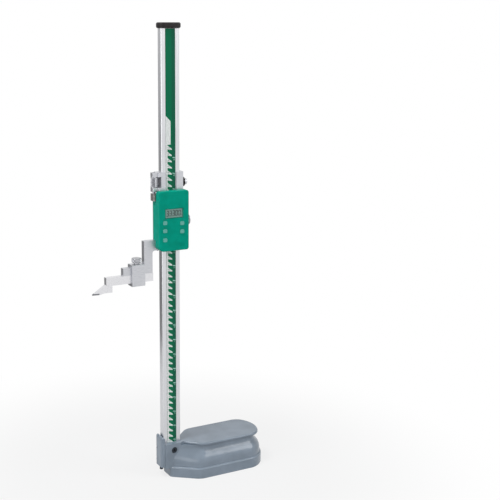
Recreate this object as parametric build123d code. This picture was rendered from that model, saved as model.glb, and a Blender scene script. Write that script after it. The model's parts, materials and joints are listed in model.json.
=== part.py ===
from build123d import *
import os

# Electronic height gauge, 500 mm, as an assembly of separate pieces.
#
# Frame: the origin lies on the base datum face, straight below the beam axis.  +Z is up, the scale
# and the display face -Y, the jaw and scriber point to -X, and the base runs out to +X.
# Every length is in millimetres.

os.makedirs("parts", exist_ok=True)

# ---------------------------------------------------------------- clearances
FIT = 0.05            # radial gap of a screw or stud in its hole
GUIDE = 0.05          # gap of a guide face on the beam
SEAT = 0.1            # gap of a piece dropped into a pocket
CLEAR = 0.3           # gap between pieces that pass each other

# ---------------------------------------------------------------- beam and scale
BEAM_W = 32.0
BEAM_T = 12.0
BEAM_FOOT = 20.0      # lower end of the beam above the datum face
BEAM_TOP = 748.2
BEAM_BEVEL = 0.6
GROOVE_W = 17.4
SCALE_W = 17.0
SCALE_TOP_GAP = 0.3
CIRCUIT_T = 0.6
COVER_T = 0.3
COVER_SINK = 0.1      # cover face below the beam face

# ---------------------------------------------------------------- base casting
FOOT_H = 18.5
FLANGE_T = 5.0
FLANGE_TOP = 59.0
FOOT_EDGE_R = 3.0
FLANGE_EDGE_R = 2.3
# Each outline: half width, left end, half width of the left end, turn of the side,
# start of the bow, end of the bow and radius of the left corners.
FOOT_PLAN = (46.0, -6.5, 14.5, 36.0, 139.0, 173.0, 8.0)
WAIST_PLAN = (31.0, 4.0, 12.0, 48.0, 143.0, 158.0, 6.0)
FLANGE_PLAN = (36.5, 16.2, 8.0, 46.0, 148.0, 166.0, 4.0)
RELIEF_PLAN = (36.0, 12.0, 14.0, 40.0, 133.0, 160.0, 4.0)
WAIST_SINK = 0.5      # the waist starts this far inside the foot
FOOT_INSET = 2.6      # flat ledge between the foot wall and the shoulder
FLANGE_SINK = 0.5     # the waist ends this far inside the flange
# Shoulder and neck: share of the height, and how far the outline has gone from the ledge to the neck.
WAIST_STEPS = ((0.0, 0.0), (0.2, 0.02), (0.42, 0.17), (0.58, 0.5), (0.72, 0.83), (0.86, 0.98), (1.0, 1.0))
RELIEF_D = 2.5
PLAN_R = 24.0

SOCKET_HALF = 15.0
SOCKET_GAP = 0.2      # left face of the socket past the edge of the beam
SOCKET_RIGHT_WALL = 6.0
SOCKET_BOTTOM = 16.0
SOCKET_TOP = 59.0
SOCKET_R = 4.0

# ---------------------------------------------------------------- beam clamp block
BLOCK_T = 6.0
BLOCK_HALF = 13.2
BLOCK_BOTTOM = 18.5
BLOCK_TOP = 72.0
BLOCK_R = 5.8
BLOCK_EDGE_R = 2.4
BLOCK_PASS = 0.5      # gap round the block when the slider is at its lowest
BLOCK_STOP_GAP = 1.7  # gap above the block when the slider is at its lowest
BLOCK_SCREW_Y = 8.6
BLOCK_SCREW_Z = (30.0, 50.0)
BLOCK_SCREW_R = 1.5
BLOCK_SCREW_HEAD_R = 2.75
BLOCK_SCREW_HEAD_T = 2.4
BLOCK_SCREW_SINK = 2.0  # head below the face of the block
BLOCK_SCREW_L = 12.0
JACK_Y = -5.0
JACK_R = 1.5
JACK_HEAD_R = 3.0
JACK_HEAD_T = 4.5
JACK_L = 14.0
FRONT_SCREW_X = 1.0
FRONT_SCREW_Z = 47.5
FRONT_SCREW_R = 3.0
FRONT_HEAD_R = 5.0
FRONT_HEAD_T = 5.0
FRONT_BORE_R = 5.5
FRONT_BORE_SINK = 1.2
FRONT_SCREW_L = 9.0
KEY_DEPTH = 2.0       # depth of a hexagon socket

# ---------------------------------------------------------------- top cap
CAP_W = 39.4
CAP_D = 21.0
CAP_T = 9.0
CAP_CORNER_R = 9.0
CAP_EDGE_R = 2.6
CAP_SCREW_R = 2.0
CAP_SCREW_HEAD_R = 4.0
CAP_SCREW_L = 16.0

# ---------------------------------------------------------------- slider
READING = 333.0       # height of the scriber face above the datum face, as modelled
HOUSING_RISE = 63.0   # lower edge of the display above the scriber face
FRAME_DROP = 4.4      # top of the frame below the top of the housing
FRAME_HALF = 24.4
FRAME_FRONT = -7.2
FRAME_BACK = 12.0
FRAME_EDGE_R = 1.5
FRAME_WINDOW_HALF = 9.2
GIB_T = 1.3
GIB_HALF_W = 5.5
GIB_END_GAP = 1.0
GIB_SCREW_R = 1.5
GIB_SCREW_IN = (11.0, 6.1)  # lowest and highest screw from the ends of the frame
LOCK_RISE = 46.2

JAW_FRONT = -3.5
JAW_BACK = 6.0
JAW_PLATE_LEFT = -47.0
JAW_PLATE_RIGHT = -32.0
JAW_TOP_RISE = 17.0
JAW_ARM_LEFT = -84.0
JAW_ARM_H = 12.0
JAW_ROOT_R = 4.0

# ---------------------------------------------------------------- scriber
SCRIBER_FOOT_H = 13.0
SCRIBER_BAR_H = 13.5
SCRIBER_HALF_T = 4.5
SCRIBER_RIGHT = -31.0
SCRIBER_LEFT = -113.4
SCRIBER_HEEL = -103.0
SCRIBER_HEEL_RISE = 2.0  # heel above the measuring face
SCRIBER_TIP = -136.0
SCRIBER_NOSE_RISE = 14.5
SCRIBER_FACE_L = 12.0
SCRIBER_RAMP_L = 7.0
SCRIBER_TIP_HALF = 1.8
SCRIBER_TIP_H = 0.8
TIP_L = 11.0
TIP_T = 2.4
ARM_GAP = 0.1

CLAMP_LEFT = -70.0
CLAMP_RIGHT = -47.0
CLAMP_WALL = 4.0
CLAMP_TOP_WALL = 4.6
CLAMP_BOTTOM_WALL = 5.2
CLAMP_X = -58.5
KNOB_STUD_R = 2.5

SCRIBER_KNOB_R = 8.0
SCRIBER_KNOB_H = 7.5
SCRIBER_STUD_IN = 5.0  # stud inside the head of the knob
SCRIBER_KNOB_NECK_R = 4.5
SCRIBER_KNOB_NECK_H = 2.6

# ---------------------------------------------------------------- display housing
HOUSING_HALF = 26.5
HOUSING_FRONT = -19.0
HOUSING_BACK = 5.0
HOUSING_H = 98.0
HOUSING_WALL = 1.8
HOUSING_R = 4.0
HOUSING_LOW_LEFT_R = 8.0
HOUSING_EDGE_R = 1.5
HOUSING_SCREW_X = 21.2
HOUSING_SCREW_IN = (26.5, 16.6)  # lowest and highest screw from the ends of the frame
HOUSING_SCREW_R = 1.25
HOUSING_SCREW_HEAD_R = 2.2
HOUSING_SCREW_HEAD_T = 2.4
BOSS_R = 2.3
BOSS_SCREW_DEPTH = 6.0
LIP_GAP = 1.0         # top and bottom walls of the housing stop this far before the frame

WINDOW_HALF = 16.5
WINDOW_RISE = 53.5
WINDOW_H = 16.5
WINDOW_T = 0.9
WINDOW_LEDGE = 1.2

LCD_HALF = 18.4
LCD_MARGIN = 2.3
LCD_T = 1.8
HOLDER_WALL = 1.2
ELASTOMER_W = 1.9

BOARD_T = 1.2
BOARD_HALF = 22.5
BOARD_RISE = 3.0
READER_HALF = 8.9
READER_T = 1.0
READER_RISE = 9.0
READER_DROP = 6.6
BOARD_DROP = 0.6

BUTTON_W = 7.0
BUTTON_H = 6.0
BUTTON_R = 1.6
BUTTON_PROUD = 0.9
BUTTON_FLANGE = 0.6
BUTTON_FLANGE_T = 0.8
BUTTON_STEM_R = 1.4
BUTTON_TRAVEL = 0.5
LEFT_KEYS_X = -16.5
LEFT_KEYS_RISE = (47.0, 34.0, 19.0)
RIGHT_KEYS_X = 14.0
RIGHT_KEYS_RISE = (44.5, 31.0)
SWITCH_W = 4.0
SWITCH_T = 0.9
PLUNGER_R = 0.9
PLUNGER_T = 0.3

CELL_R = 10.0
CELL_T = 3.2
CELL_X = 13.4
CELL_RISE = 13.0
CELL_GAP = 0.2
COVER_LEFT = 2.9
COVER_RIGHT = 23.9
COVER_H = 23.9
PANEL_T = 1.4
PANEL_EDGE_R = 1.0
PANEL_TONGUE = 0.7
PANEL_TONGUE_T = 0.6
BAY_WALL = 1.2
BAY_FLOOR = 0.8
CONTACT_T = 0.4
CONTACT_W = 4.0
CONTACT_POST_R = 1.2
CONTACT_PAD_R = 2.5
CONTACT_SLOT = 0.3

# ---------------------------------------------------------------- fine-adjust feed
SPINDLE_X = -27.2
SPINDLE_R = 2.5
SPINDLE_END_DROP = 2.5  # end of the spindle below the top of the carriage
ANCHOR_LEFT = -30.6
ANCHOR_HALF = 6.5
ANCHOR_DROP = 0.6     # anchor below the top of the frame
ANCHOR_H = 11.5
ANCHOR_SCREW_Y = 4.7
ANCHOR_SCREW_R = 1.2
ANCHOR_SCREW_L = 5.0
NUT_R = 5.4
NUT_H = 17.0
NUT_PLAY = 0.15

CARRIAGE_GAP = 2.7    # carriage above the slider frame
CARRIAGE_H = 30.7
CARRIAGE_HALF = 22.0
CARRIAGE_FRONT = -8.0
CARRIAGE_BACK = 11.0
CARRIAGE_EDGE_R = 1.2
CARRIAGE_OPEN_HALF = 9.6
LUG_LEFT = -31.2
LUG_HALF = 5.0
LUG_LOW_H = 6.7
LUG_WEB = 1.5
LUG_HOLE_GAP = 0.3

# ---------------------------------------------------------------- side knobs
PAD_R = 2.3
PAD_T = 1.2
LOCK_KNOB_R = 8.8
LOCK_KNOB_L = 7.2
LOCK_KNOB_GAP = 1.0
LOCK_STUD_IN = 5.0    # stud inside the knob
LOCK_HOLE_R = 3.6
CARRIAGE_KNOB_R = 7.8
CARRIAGE_KNOB_L = 3.4
CARRIAGE_KNOB_GAP = 0.5
CARRIAGE_KNOB_RISE = 13.0
CARRIAGE_END_R = 5.0
CARRIAGE_END_L = 4.8
KNOB_BEVEL = 0.8

# ---------------------------------------------------------------- derived places
BEAM_FRONT = -BEAM_T / 2
BEAM_BACK = BEAM_T / 2
BEAM_LEFT = -BEAM_W / 2
BEAM_RIGHT = BEAM_W / 2
GROOVE_D = CIRCUIT_T + COVER_T + COVER_SINK
SCALE_BOTTOM = SOCKET_TOP + CLEAR
SCALE_TOP = BEAM_TOP - SCALE_TOP_GAP
SOCKET_LEFT = BEAM_W / 2 + SOCKET_GAP
BLOCK_LEFT = -SOCKET_LEFT - BLOCK_T
JACK_X = BLOCK_LEFT + BLOCK_T / 2

DECK = READING + HOUSING_RISE
HOUSING_TOP = DECK + HOUSING_H
FRAME_TOP = HOUSING_TOP - FRAME_DROP
GIB_SCREW_Z = (DECK + GIB_SCREW_IN[0], FRAME_TOP - GIB_SCREW_IN[1])
HOUSING_SCREW_Z = (DECK + HOUSING_SCREW_IN[0], FRAME_TOP - HOUSING_SCREW_IN[1])
BLOCK_STOP = BLOCK_TOP + READING + BLOCK_STOP_GAP
GIB_FACE = BEAM_RIGHT + GUIDE
FRAME_BORE_RIGHT = GIB_FACE + GIB_T + GUIDE
LOCK_Z = DECK + LOCK_RISE
SCRIBER_SEAT = READING + SCRIBER_FOOT_H
SCRIBER_FACE_END = SCRIBER_TIP + SCRIBER_FACE_L
SCRIBER_HEEL_Z = READING + SCRIBER_HEEL_RISE
SCRIBER_BACK = SCRIBER_SEAT + SCRIBER_BAR_H
ARM_BOTTOM = SCRIBER_BACK + ARM_GAP
ARM_TOP = ARM_BOTTOM + JAW_ARM_H
JAW_MID = (JAW_FRONT + JAW_BACK) / 2
CLAMP_BOTTOM = SCRIBER_SEAT - CLAMP_BOTTOM_WALL
CLAMP_TOP = ARM_TOP + CLAMP_TOP_WALL

WALL_IN = HOUSING_FRONT + HOUSING_WALL
HOUSING_IN = HOUSING_HALF - HOUSING_WALL
BOARD_BACK = FRAME_FRONT
BOARD_FRONT = BOARD_BACK - BOARD_T
LCD_FRONT = WALL_IN + SEAT
LCD_BACK = LCD_FRONT + LCD_T
LCD_LOW = DECK + WINDOW_RISE - LCD_MARGIN
LCD_HIGH = DECK + WINDOW_RISE + WINDOW_H + LCD_MARGIN
PANEL_BACK = HOUSING_FRONT + PANEL_T
CELL_FRONT = PANEL_BACK + 1.1
CELL_BACK = CELL_FRONT + CELL_T
BAY_BACK = CELL_BACK + SEAT + BAY_FLOOR
CELL_Z = DECK + CELL_RISE
SWITCH_FRONT = BOARD_FRONT - SWITCH_T - PLUNGER_T

CARRIAGE_BOTTOM = FRAME_TOP + CARRIAGE_GAP
CARRIAGE_TOP = CARRIAGE_BOTTOM + CARRIAGE_H
LUG_LOW_TOP = CARRIAGE_BOTTOM + LUG_LOW_H
LUG_HIGH_BOTTOM = LUG_LOW_TOP + NUT_H + 2 * NUT_PLAY
CARRIAGE_KNOB_Z = CARRIAGE_BOTTOM + CARRIAGE_KNOB_RISE
ANCHOR_TOP = FRAME_TOP - ANCHOR_DROP
ANCHOR_BOTTOM = ANCHOR_TOP - ANCHOR_H


# ---------------------------------------------------------------- helpers
def block(x0, x1, y0, y1, z0, z1):
    """Box between two corners."""
    return Pos(x0, y0, z0) * Box(x1 - x0, y1 - y0, z1 - z0, align=(Align.MIN, Align.MIN, Align.MIN))


def rod_x(radius, x0, x1, y, z):
    """Cylinder along X."""
    start = (Align.CENTER, Align.CENTER, Align.MIN)
    return Pos(x0, y, z) * Rot(0, 90, 0) * Cylinder(radius, x1 - x0, align=start)


def rod_y(radius, x, y0, y1, z):
    """Cylinder along Y."""
    start = (Align.CENTER, Align.CENTER, Align.MIN)
    return Pos(x, y0, z) * Rot(-90, 0, 0) * Cylinder(radius, y1 - y0, align=start)


def rod_z(radius, x, y, z0, z1):
    """Cylinder along Z."""
    start = (Align.CENTER, Align.CENTER, Align.MIN)
    return Pos(x, y, z0) * Cylinder(radius, z1 - z0, align=start)


def prism_y(points, y0, y1):
    """Solid whose outline lies in X and Z, from y0 to y1."""
    face = Plane((0, y1, 0), x_dir=(1, 0, 0), z_dir=(0, -1, 0)) * Polygon(*points, align=None)
    return extrude(face, amount=y1 - y0, dir=(0, -1, 0))


def prism_z(points, z0, z1):
    """Solid whose outline lies in X and Y, from z0 to z1."""
    return extrude(Pos(0, 0, z0) * Polygon(*points, align=None), amount=z1 - z0, dir=(0, 0, 1))


def key_z(across, x, y, z0, z1):
    """Hexagon along Z, for the socket of a screw."""
    hexagon = RegularPolygon(across / 2, 6, major_radius=False)
    return Pos(x, y, z0) * extrude(hexagon, amount=z1 - z0)


def key_x(across, x0, x1, y, z):
    """Hexagon along X, for the socket of a screw."""
    hexagon = RegularPolygon(across / 2, 6, major_radius=False)
    return Pos(x0, y, z) * Rot(0, 90, 0) * extrude(hexagon, amount=x1 - x0)


def key_y(across, x, y0, y1, z):
    """Hexagon along Y, for the socket of a screw."""
    hexagon = RegularPolygon(across / 2, 6, major_radius=False)
    return Pos(x, y0, z) * Rot(-90, 0, 0) * extrude(hexagon, amount=y1 - y0)


def rim_edges(solid, axis, value):
    """Edges that lie wholly at one value along an axis."""
    return solid.edges().filter_by_position(axis, value - 0.01, value + 0.01)


def knob(radius, length, bevel):
    """Knob body along Z from 0, with both rims bevelled."""
    body = rod_z(radius, 0, 0, 0, length)
    rims = rim_edges(body, Axis.Z, 0) + rim_edges(body, Axis.Z, length)
    return chamfer(rims, bevel)


# ---------------------------------------------------------------- base casting
def plan(values, z):
    """Outline of the base at a height: a wedge on the left, straight sides and a bowed right end."""
    half, left, half_left, turn, bow, end, left_r = values
    near_side = [(bow, -half), (turn, -half), (left, -half_left)]
    far_side = [(left, half_left), (turn, half), (bow, half)]
    side = Polyline(*near_side, *far_side)
    nose = ThreePointArc((bow, -half), (end, 0), (bow, half))
    face = make_face(side + nose)
    left_corners = face.vertices().filter_by_position(Axis.X, left - 0.1, left + 0.1)
    face = fillet(left_corners, left_r)
    turns = face.vertices().filter_by_position(Axis.X, turn - 0.1, turn + 0.1)
    face = fillet(turns, PLAN_R)
    bows = face.vertices().filter_by_position(Axis.X, bow - 0.1, bow + 0.1)
    return Pos(0, 0, z) * fillet(bows, PLAN_R)


def blend_plan(a, b, share):
    """Outline values part of the way from a to b."""
    return tuple(p + (q - p) * share for p, q in zip(a, b))


def inset_plan(values, inset):
    """Outline values moved inward by about one distance."""
    half, left, half_left, turn, bow, end, left_r = values
    sides = (half - inset, left + inset, half_left - inset / 2, turn + inset / 3)
    return sides + (bow - inset / 4, end - inset, left_r - inset / 2)


def base_casting():
    """Foot, round shoulder, narrow neck, thin top flange and the socket that holds the beam."""
    foot = extrude(plan(FOOT_PLAN, 0), amount=FOOT_H, dir=(0, 0, 1))
    foot = fillet(rim_edges(foot, Axis.Z, FOOT_H), FOOT_EDGE_R)
    ledge = inset_plan(FOOT_PLAN, FOOT_INSET)
    low = FOOT_H - WAIST_SINK
    high = FLANGE_TOP - FLANGE_T + FLANGE_SINK
    sections = []
    for up, share in WAIST_STEPS:
        z = low + (high - low) * up
        sections.append(plan(blend_plan(ledge, WAIST_PLAN, share), z))
    waist = loft(sections)
    flange = extrude(plan(FLANGE_PLAN, FLANGE_TOP - FLANGE_T), amount=FLANGE_T, dir=(0, 0, 1))
    flange = fillet(rim_edges(flange, Axis.Z, FLANGE_TOP), FLANGE_EDGE_R)
    flange = fillet(rim_edges(flange, Axis.Z, FLANGE_TOP - FLANGE_T), FLANGE_EDGE_R)
    body = foot + waist + flange
    socket = block(-SOCKET_LEFT, BEAM_RIGHT - CLEAR, -SOCKET_HALF, SOCKET_HALF, SOCKET_BOTTOM, SOCKET_TOP)
    corners = socket.edges().filter_by(Axis.Z)
    socket = fillet(corners, SOCKET_R)
    wall_right = BEAM_RIGHT + SOCKET_RIGHT_WALL
    wall = block(0, wall_right, -SOCKET_HALF + 3, SOCKET_HALF - 3, SOCKET_BOTTOM, FLANGE_TOP)
    body = body + socket + wall
    pocket_right = BEAM_RIGHT + SEAT
    pocket_half = BEAM_BACK + SEAT
    body = body - block(-SOCKET_LEFT - 1, pocket_right, -pocket_half, pocket_half, BEAM_FOOT, SOCKET_TOP + 1)
    body = body - extrude(plan(RELIEF_PLAN, 0), amount=RELIEF_D, dir=(0, 0, 1))
    for z in BLOCK_SCREW_Z:
        depth = BLOCK_SCREW_L - (BLOCK_T - BLOCK_SCREW_SINK - BLOCK_SCREW_HEAD_T) + 1
        start = -SOCKET_LEFT - 1
        body = body - rod_x(BLOCK_SCREW_R + FIT, start, -SOCKET_LEFT + depth, BLOCK_SCREW_Y, z)
    bore_end = -SOCKET_HALF + FRONT_BORE_SINK + FRONT_HEAD_T
    body = body - rod_y(FRONT_BORE_R, FRONT_SCREW_X, -SOCKET_HALF - 1, bore_end, FRONT_SCREW_Z)
    return body - rod_y(FRONT_SCREW_R + FIT, FRONT_SCREW_X, -SOCKET_HALF, BEAM_FRONT, FRONT_SCREW_Z)


def clamp_block():
    """Rounded block that closes the socket and bears on the edge of the beam."""
    body = block(BLOCK_LEFT, -SOCKET_LEFT, -BLOCK_HALF, BLOCK_HALF, BLOCK_BOTTOM, BLOCK_TOP)
    outer = body.edges().filter_by(Axis.Z).sort_by(Axis.X)[:2]
    body = fillet(outer, BLOCK_R)
    body = fillet(rim_edges(body, Axis.Z, BLOCK_TOP), BLOCK_EDGE_R)
    for z in BLOCK_SCREW_Z:
        body = body - rod_x(BLOCK_SCREW_R + FIT, BLOCK_LEFT - 1, -SOCKET_LEFT + 1, BLOCK_SCREW_Y, z)
        head_end = BLOCK_LEFT + BLOCK_SCREW_SINK + BLOCK_SCREW_HEAD_T
        body = body - rod_x(BLOCK_SCREW_HEAD_R + SEAT, BLOCK_LEFT - 1, head_end, BLOCK_SCREW_Y, z)
    return body - rod_z(JACK_R + FIT, JACK_X, JACK_Y, BLOCK_BOTTOM - 1, BLOCK_BOTTOM + JACK_L)


def clamp_block_screws():
    """Two socket head screws that hold the block to the casting."""
    screws = []
    for z in BLOCK_SCREW_Z:
        head_start = BLOCK_LEFT + BLOCK_SCREW_SINK
        head_end = head_start + BLOCK_SCREW_HEAD_T
        screw = rod_x(BLOCK_SCREW_HEAD_R, head_start, head_end, BLOCK_SCREW_Y, z)
        screw = screw + rod_x(BLOCK_SCREW_R, head_start, head_end + BLOCK_SCREW_L, BLOCK_SCREW_Y, z)
        screws.append(screw - key_x(3.0, head_start - 1, head_start + KEY_DEPTH, BLOCK_SCREW_Y, z))
    return screws


def jack_screw():
    """Socket head screw that enters the block from below."""
    head = rod_z(JACK_HEAD_R, JACK_X, JACK_Y, BLOCK_BOTTOM - JACK_HEAD_T, BLOCK_BOTTOM)
    shank = rod_z(JACK_R, JACK_X, JACK_Y, BLOCK_BOTTOM - 0.5, BLOCK_BOTTOM + JACK_L - 1)
    low = BLOCK_BOTTOM - JACK_HEAD_T
    return head + shank - key_z(2.5, JACK_X, JACK_Y, low - 1, low + KEY_DEPTH)


def front_screw():
    """Socket head screw in the front of the socket, which draws the beam against it."""
    head_start = -SOCKET_HALF + FRONT_BORE_SINK
    head_end = head_start + FRONT_HEAD_T
    screw = rod_y(FRONT_HEAD_R, FRONT_SCREW_X, head_start, head_end, FRONT_SCREW_Z)
    screw = screw + rod_y(FRONT_SCREW_R, FRONT_SCREW_X, head_start, head_end + FRONT_SCREW_L, FRONT_SCREW_Z)
    return screw - key_y(4.0, FRONT_SCREW_X, head_start - 1, head_start + KEY_DEPTH, FRONT_SCREW_Z)


# ---------------------------------------------------------------- beam and its scale
def column_beam():
    """Ground steel beam with a shallow groove for the scale."""
    beam = block(BEAM_LEFT, BEAM_RIGHT, BEAM_FRONT, BEAM_BACK, BEAM_FOOT, BEAM_TOP)
    beam = chamfer(beam.edges().filter_by(Axis.Z), BEAM_BEVEL)
    groove_half = GROOVE_W / 2
    groove_back = BEAM_FRONT + GROOVE_D
    beam = beam - block(-groove_half, groove_half, BEAM_FRONT - 1, groove_back, SCALE_BOTTOM, BEAM_TOP + 1)
    tap_end = -SOCKET_HALF + FRONT_BORE_SINK + FRONT_HEAD_T + FRONT_SCREW_L + 1
    beam = beam - rod_y(FRONT_SCREW_R + FIT, FRONT_SCREW_X, BEAM_FRONT - 1, tap_end, FRONT_SCREW_Z)
    return beam - rod_z(CAP_SCREW_R + FIT, 0, 0, BEAM_TOP - CAP_SCREW_L + CAP_T, BEAM_TOP + 1)


def scale_circuit():
    """Capacitive circuit strip glued into the groove."""
    back = BEAM_FRONT + GROOVE_D
    return block(-SCALE_W / 2, SCALE_W / 2, back - CIRCUIT_T, back, SCALE_BOTTOM, SCALE_TOP)


def scale_cover():
    """Printed cover strip on top of the circuit strip."""
    back = BEAM_FRONT + GROOVE_D - CIRCUIT_T
    return block(-SCALE_W / 2, SCALE_W / 2, back - COVER_T, back, SCALE_BOTTOM, SCALE_TOP)


def top_cap():
    """Cap on the upper end of the beam, which also stops the slider."""
    body = block(-CAP_W / 2, CAP_W / 2, -CAP_D / 2, CAP_D / 2, BEAM_TOP, BEAM_TOP + CAP_T)
    body = fillet(body.edges().filter_by(Axis.Z), CAP_CORNER_R)
    body = fillet(rim_edges(body, Axis.Z, BEAM_TOP + CAP_T) + rim_edges(body, Axis.Z, BEAM_TOP), CAP_EDGE_R)
    body = body - rod_z(CAP_SCREW_R + FIT, 0, 0, BEAM_TOP - 1, BEAM_TOP + CAP_T + 1)
    return body - countersink(SEAT)


def countersink(gap):
    """Cone of the cap screw's head, with a gap for its seat in the cap."""
    depth = CAP_SCREW_HEAD_R - CAP_SCREW_R
    top = BEAM_TOP + CAP_T
    start = (Align.CENTER, Align.CENTER, Align.MAX)
    return Pos(0, 0, top) * Cone(CAP_SCREW_R + gap, CAP_SCREW_HEAD_R + gap, depth + gap, align=start)


def cap_screw():
    """Countersunk screw through the cap into the beam."""
    top = BEAM_TOP + CAP_T
    screw = countersink(0) + rod_z(CAP_SCREW_R, 0, 0, top - CAP_SCREW_L + 1, top - 0.5)
    return screw - key_z(2.5, 0, 0, top - KEY_DEPTH, top + 1)


# ---------------------------------------------------------------- slider frame and jaw
def jaw():
    """Plate and arm that carry the scriber, joined to the frame by a web."""
    web_top = DECK + JAW_TOP_RISE
    outline = [
        (-FRAME_HALF + 0.5, DECK),
        (-FRAME_HALF + 0.5, web_top),
        (JAW_PLATE_LEFT, web_top),
        (JAW_PLATE_LEFT, ARM_TOP),
        (JAW_ARM_LEFT, ARM_TOP),
        (JAW_ARM_LEFT, ARM_BOTTOM),
        (JAW_PLATE_RIGHT, ARM_BOTTOM),
        (JAW_PLATE_RIGHT, DECK),
    ]
    body = prism_y(outline, JAW_FRONT, JAW_BACK)
    upright = body.edges().filter_by(Axis.Y)
    root = upright.filter_by_position(Axis.X, JAW_PLATE_RIGHT - 0.1, JAW_PLATE_RIGHT + 0.1)
    root = root.filter_by_position(Axis.Z, DECK - 0.1, DECK + 0.1)
    return fillet(root, JAW_ROOT_R)


def slider_frame():
    """Box guide round the beam, open in front for the reader, with the jaw."""
    body = block(-FRAME_HALF, FRAME_HALF, FRAME_FRONT, FRAME_BACK, DECK, FRAME_TOP)
    back_edges = body.edges().filter_by(Axis.Z).sort_by(Axis.Y)[-2:]
    body = fillet(back_edges, FRAME_EDGE_R)
    body = body + jaw()
    bore_left = BEAM_LEFT - GUIDE
    body = body - block(
        bore_left, FRAME_BORE_RIGHT, BEAM_FRONT - GUIDE, BEAM_BACK + GUIDE, DECK - 1, FRAME_TOP + 1
    )
    body = body - block(-FRAME_WINDOW_HALF, FRAME_WINDOW_HALF, FRAME_FRONT - 1, 0, DECK - 1, FRAME_TOP + 1)
    block_left = BLOCK_LEFT - BLOCK_PASS
    body = body - block(block_left, bore_left + 0.5, FRAME_FRONT - 1, FRAME_BACK + 1, DECK - 1, BLOCK_STOP)
    for x in (-HOUSING_SCREW_X, HOUSING_SCREW_X):
        for z in HOUSING_SCREW_Z:
            body = body - rod_y(HOUSING_SCREW_R + FIT, x, FRAME_FRONT - 1, FRAME_BACK + 1, z)
            head_start = FRAME_BACK - HOUSING_SCREW_HEAD_T
            body = body - rod_y(HOUSING_SCREW_HEAD_R + SEAT, x, head_start, FRAME_BACK + 1, z)
    for z in GIB_SCREW_Z:
        body = body - rod_x(GIB_SCREW_R + FIT, FRAME_BORE_RIGHT - 1, FRAME_HALF + 1, 0, z)
    body = body - rod_x(KNOB_STUD_R + FIT, FRAME_BORE_RIGHT - 1, FRAME_HALF + 1, 0, LOCK_Z)
    for y in (-ANCHOR_SCREW_Y, ANCHOR_SCREW_Y):
        z = ANCHOR_BOTTOM + ANCHOR_H / 2
        body = body - rod_x(ANCHOR_SCREW_R + FIT, -FRAME_HALF - 1, -FRAME_HALF + ANCHOR_SCREW_L + 0.5, y, z)
    return body


def gib_strip():
    """Brass strip that takes up the play between the frame and the beam."""
    low = DECK + GIB_END_GAP
    return block(GIB_FACE, GIB_FACE + GIB_T, -GIB_HALF_W, GIB_HALF_W, low, FRAME_TOP - GIB_END_GAP)


def gib_screws():
    """Two set screws that push on the gib strip."""
    screws = []
    for z in GIB_SCREW_Z:
        screw = rod_x(GIB_SCREW_R, FRAME_BORE_RIGHT, FRAME_HALF - 0.4, 0, z)
        screws.append(screw - key_x(1.5, FRAME_HALF - 0.4 - KEY_DEPTH, FRAME_HALF, 0, z))
    return screws


# ---------------------------------------------------------------- scriber group
def scriber_shape():
    """Offset scriber: bar, heel and a beak whose flat face is the measuring face."""
    outline = [
        (SCRIBER_RIGHT, SCRIBER_SEAT),
        (SCRIBER_RIGHT, SCRIBER_BACK),
        (SCRIBER_LEFT, SCRIBER_BACK),
        (SCRIBER_LEFT, READING + SCRIBER_NOSE_RISE),
        (SCRIBER_TIP, READING + SCRIBER_TIP_H),
        (SCRIBER_TIP, READING),
        (SCRIBER_FACE_END, READING),
        (SCRIBER_FACE_END + SCRIBER_RAMP_L, SCRIBER_HEEL_Z),
        (SCRIBER_HEEL, SCRIBER_HEEL_Z),
        (SCRIBER_HEEL, SCRIBER_SEAT),
    ]
    front = JAW_MID - SCRIBER_HALF_T
    back = JAW_MID + SCRIBER_HALF_T
    body = prism_y(outline, front, back)
    for side in (-1, 1):
        wedge = [
            (SCRIBER_LEFT, JAW_MID + side * SCRIBER_HALF_T),
            (SCRIBER_TIP - 1, JAW_MID + side * (SCRIBER_TIP_HALF - 0.1)),
            (SCRIBER_TIP - 1, JAW_MID + side * (SCRIBER_HALF_T + 1)),
            (SCRIBER_LEFT, JAW_MID + side * (SCRIBER_HALF_T + 1)),
        ]
        body = body - prism_z(wedge, READING - 1, SCRIBER_BACK + 1)
    return body


def tip_zone():
    """Space of the carbide at the end of the nose."""
    wide = SCRIBER_HALF_T + 1
    right = SCRIBER_TIP + TIP_L
    return block(SCRIBER_TIP - 1, right, JAW_MID - wide, JAW_MID + wide, READING - 1, READING + TIP_T)


def scriber_bar():
    """Steel body of the scriber, with the seat of the tip ground out."""
    return scriber_shape() - tip_zone()


def scriber_tip():
    """Carbide tip brazed under the nose."""
    return scriber_shape() & tip_zone()


def scriber_clamp_box():
    """Box that slips over the arm and the scriber and holds them together."""
    front = JAW_FRONT - ARM_GAP
    back = JAW_BACK + ARM_GAP
    right = CLAMP_RIGHT - ARM_GAP
    body = block(CLAMP_LEFT, right, front - CLAMP_WALL, back + CLAMP_WALL, CLAMP_BOTTOM, CLAMP_TOP)
    body = chamfer(body.edges().filter_by(Axis.X), 0.8)
    low = SCRIBER_SEAT - ARM_GAP
    body = body - block(CLAMP_LEFT - 1, CLAMP_RIGHT + 1, front, back, low, ARM_TOP + ARM_GAP)
    return body - rod_z(KNOB_STUD_R + FIT, CLAMP_X, JAW_MID, ARM_TOP, CLAMP_TOP + 1)


def scriber_knob():
    """Thumb knob above the clamp box."""
    low = CLAMP_TOP + CLEAR
    shoulder = low + SCRIBER_KNOB_NECK_H
    neck = rod_z(SCRIBER_KNOB_NECK_R, CLAMP_X, JAW_MID, low, shoulder + 0.5)
    head = Pos(CLAMP_X, JAW_MID, shoulder) * knob(SCRIBER_KNOB_R, SCRIBER_KNOB_H, KNOB_BEVEL)
    bore = rod_z(KNOB_STUD_R + FIT, CLAMP_X, JAW_MID, low - 1, shoulder + SCRIBER_STUD_IN)
    return neck + head - bore


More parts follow.
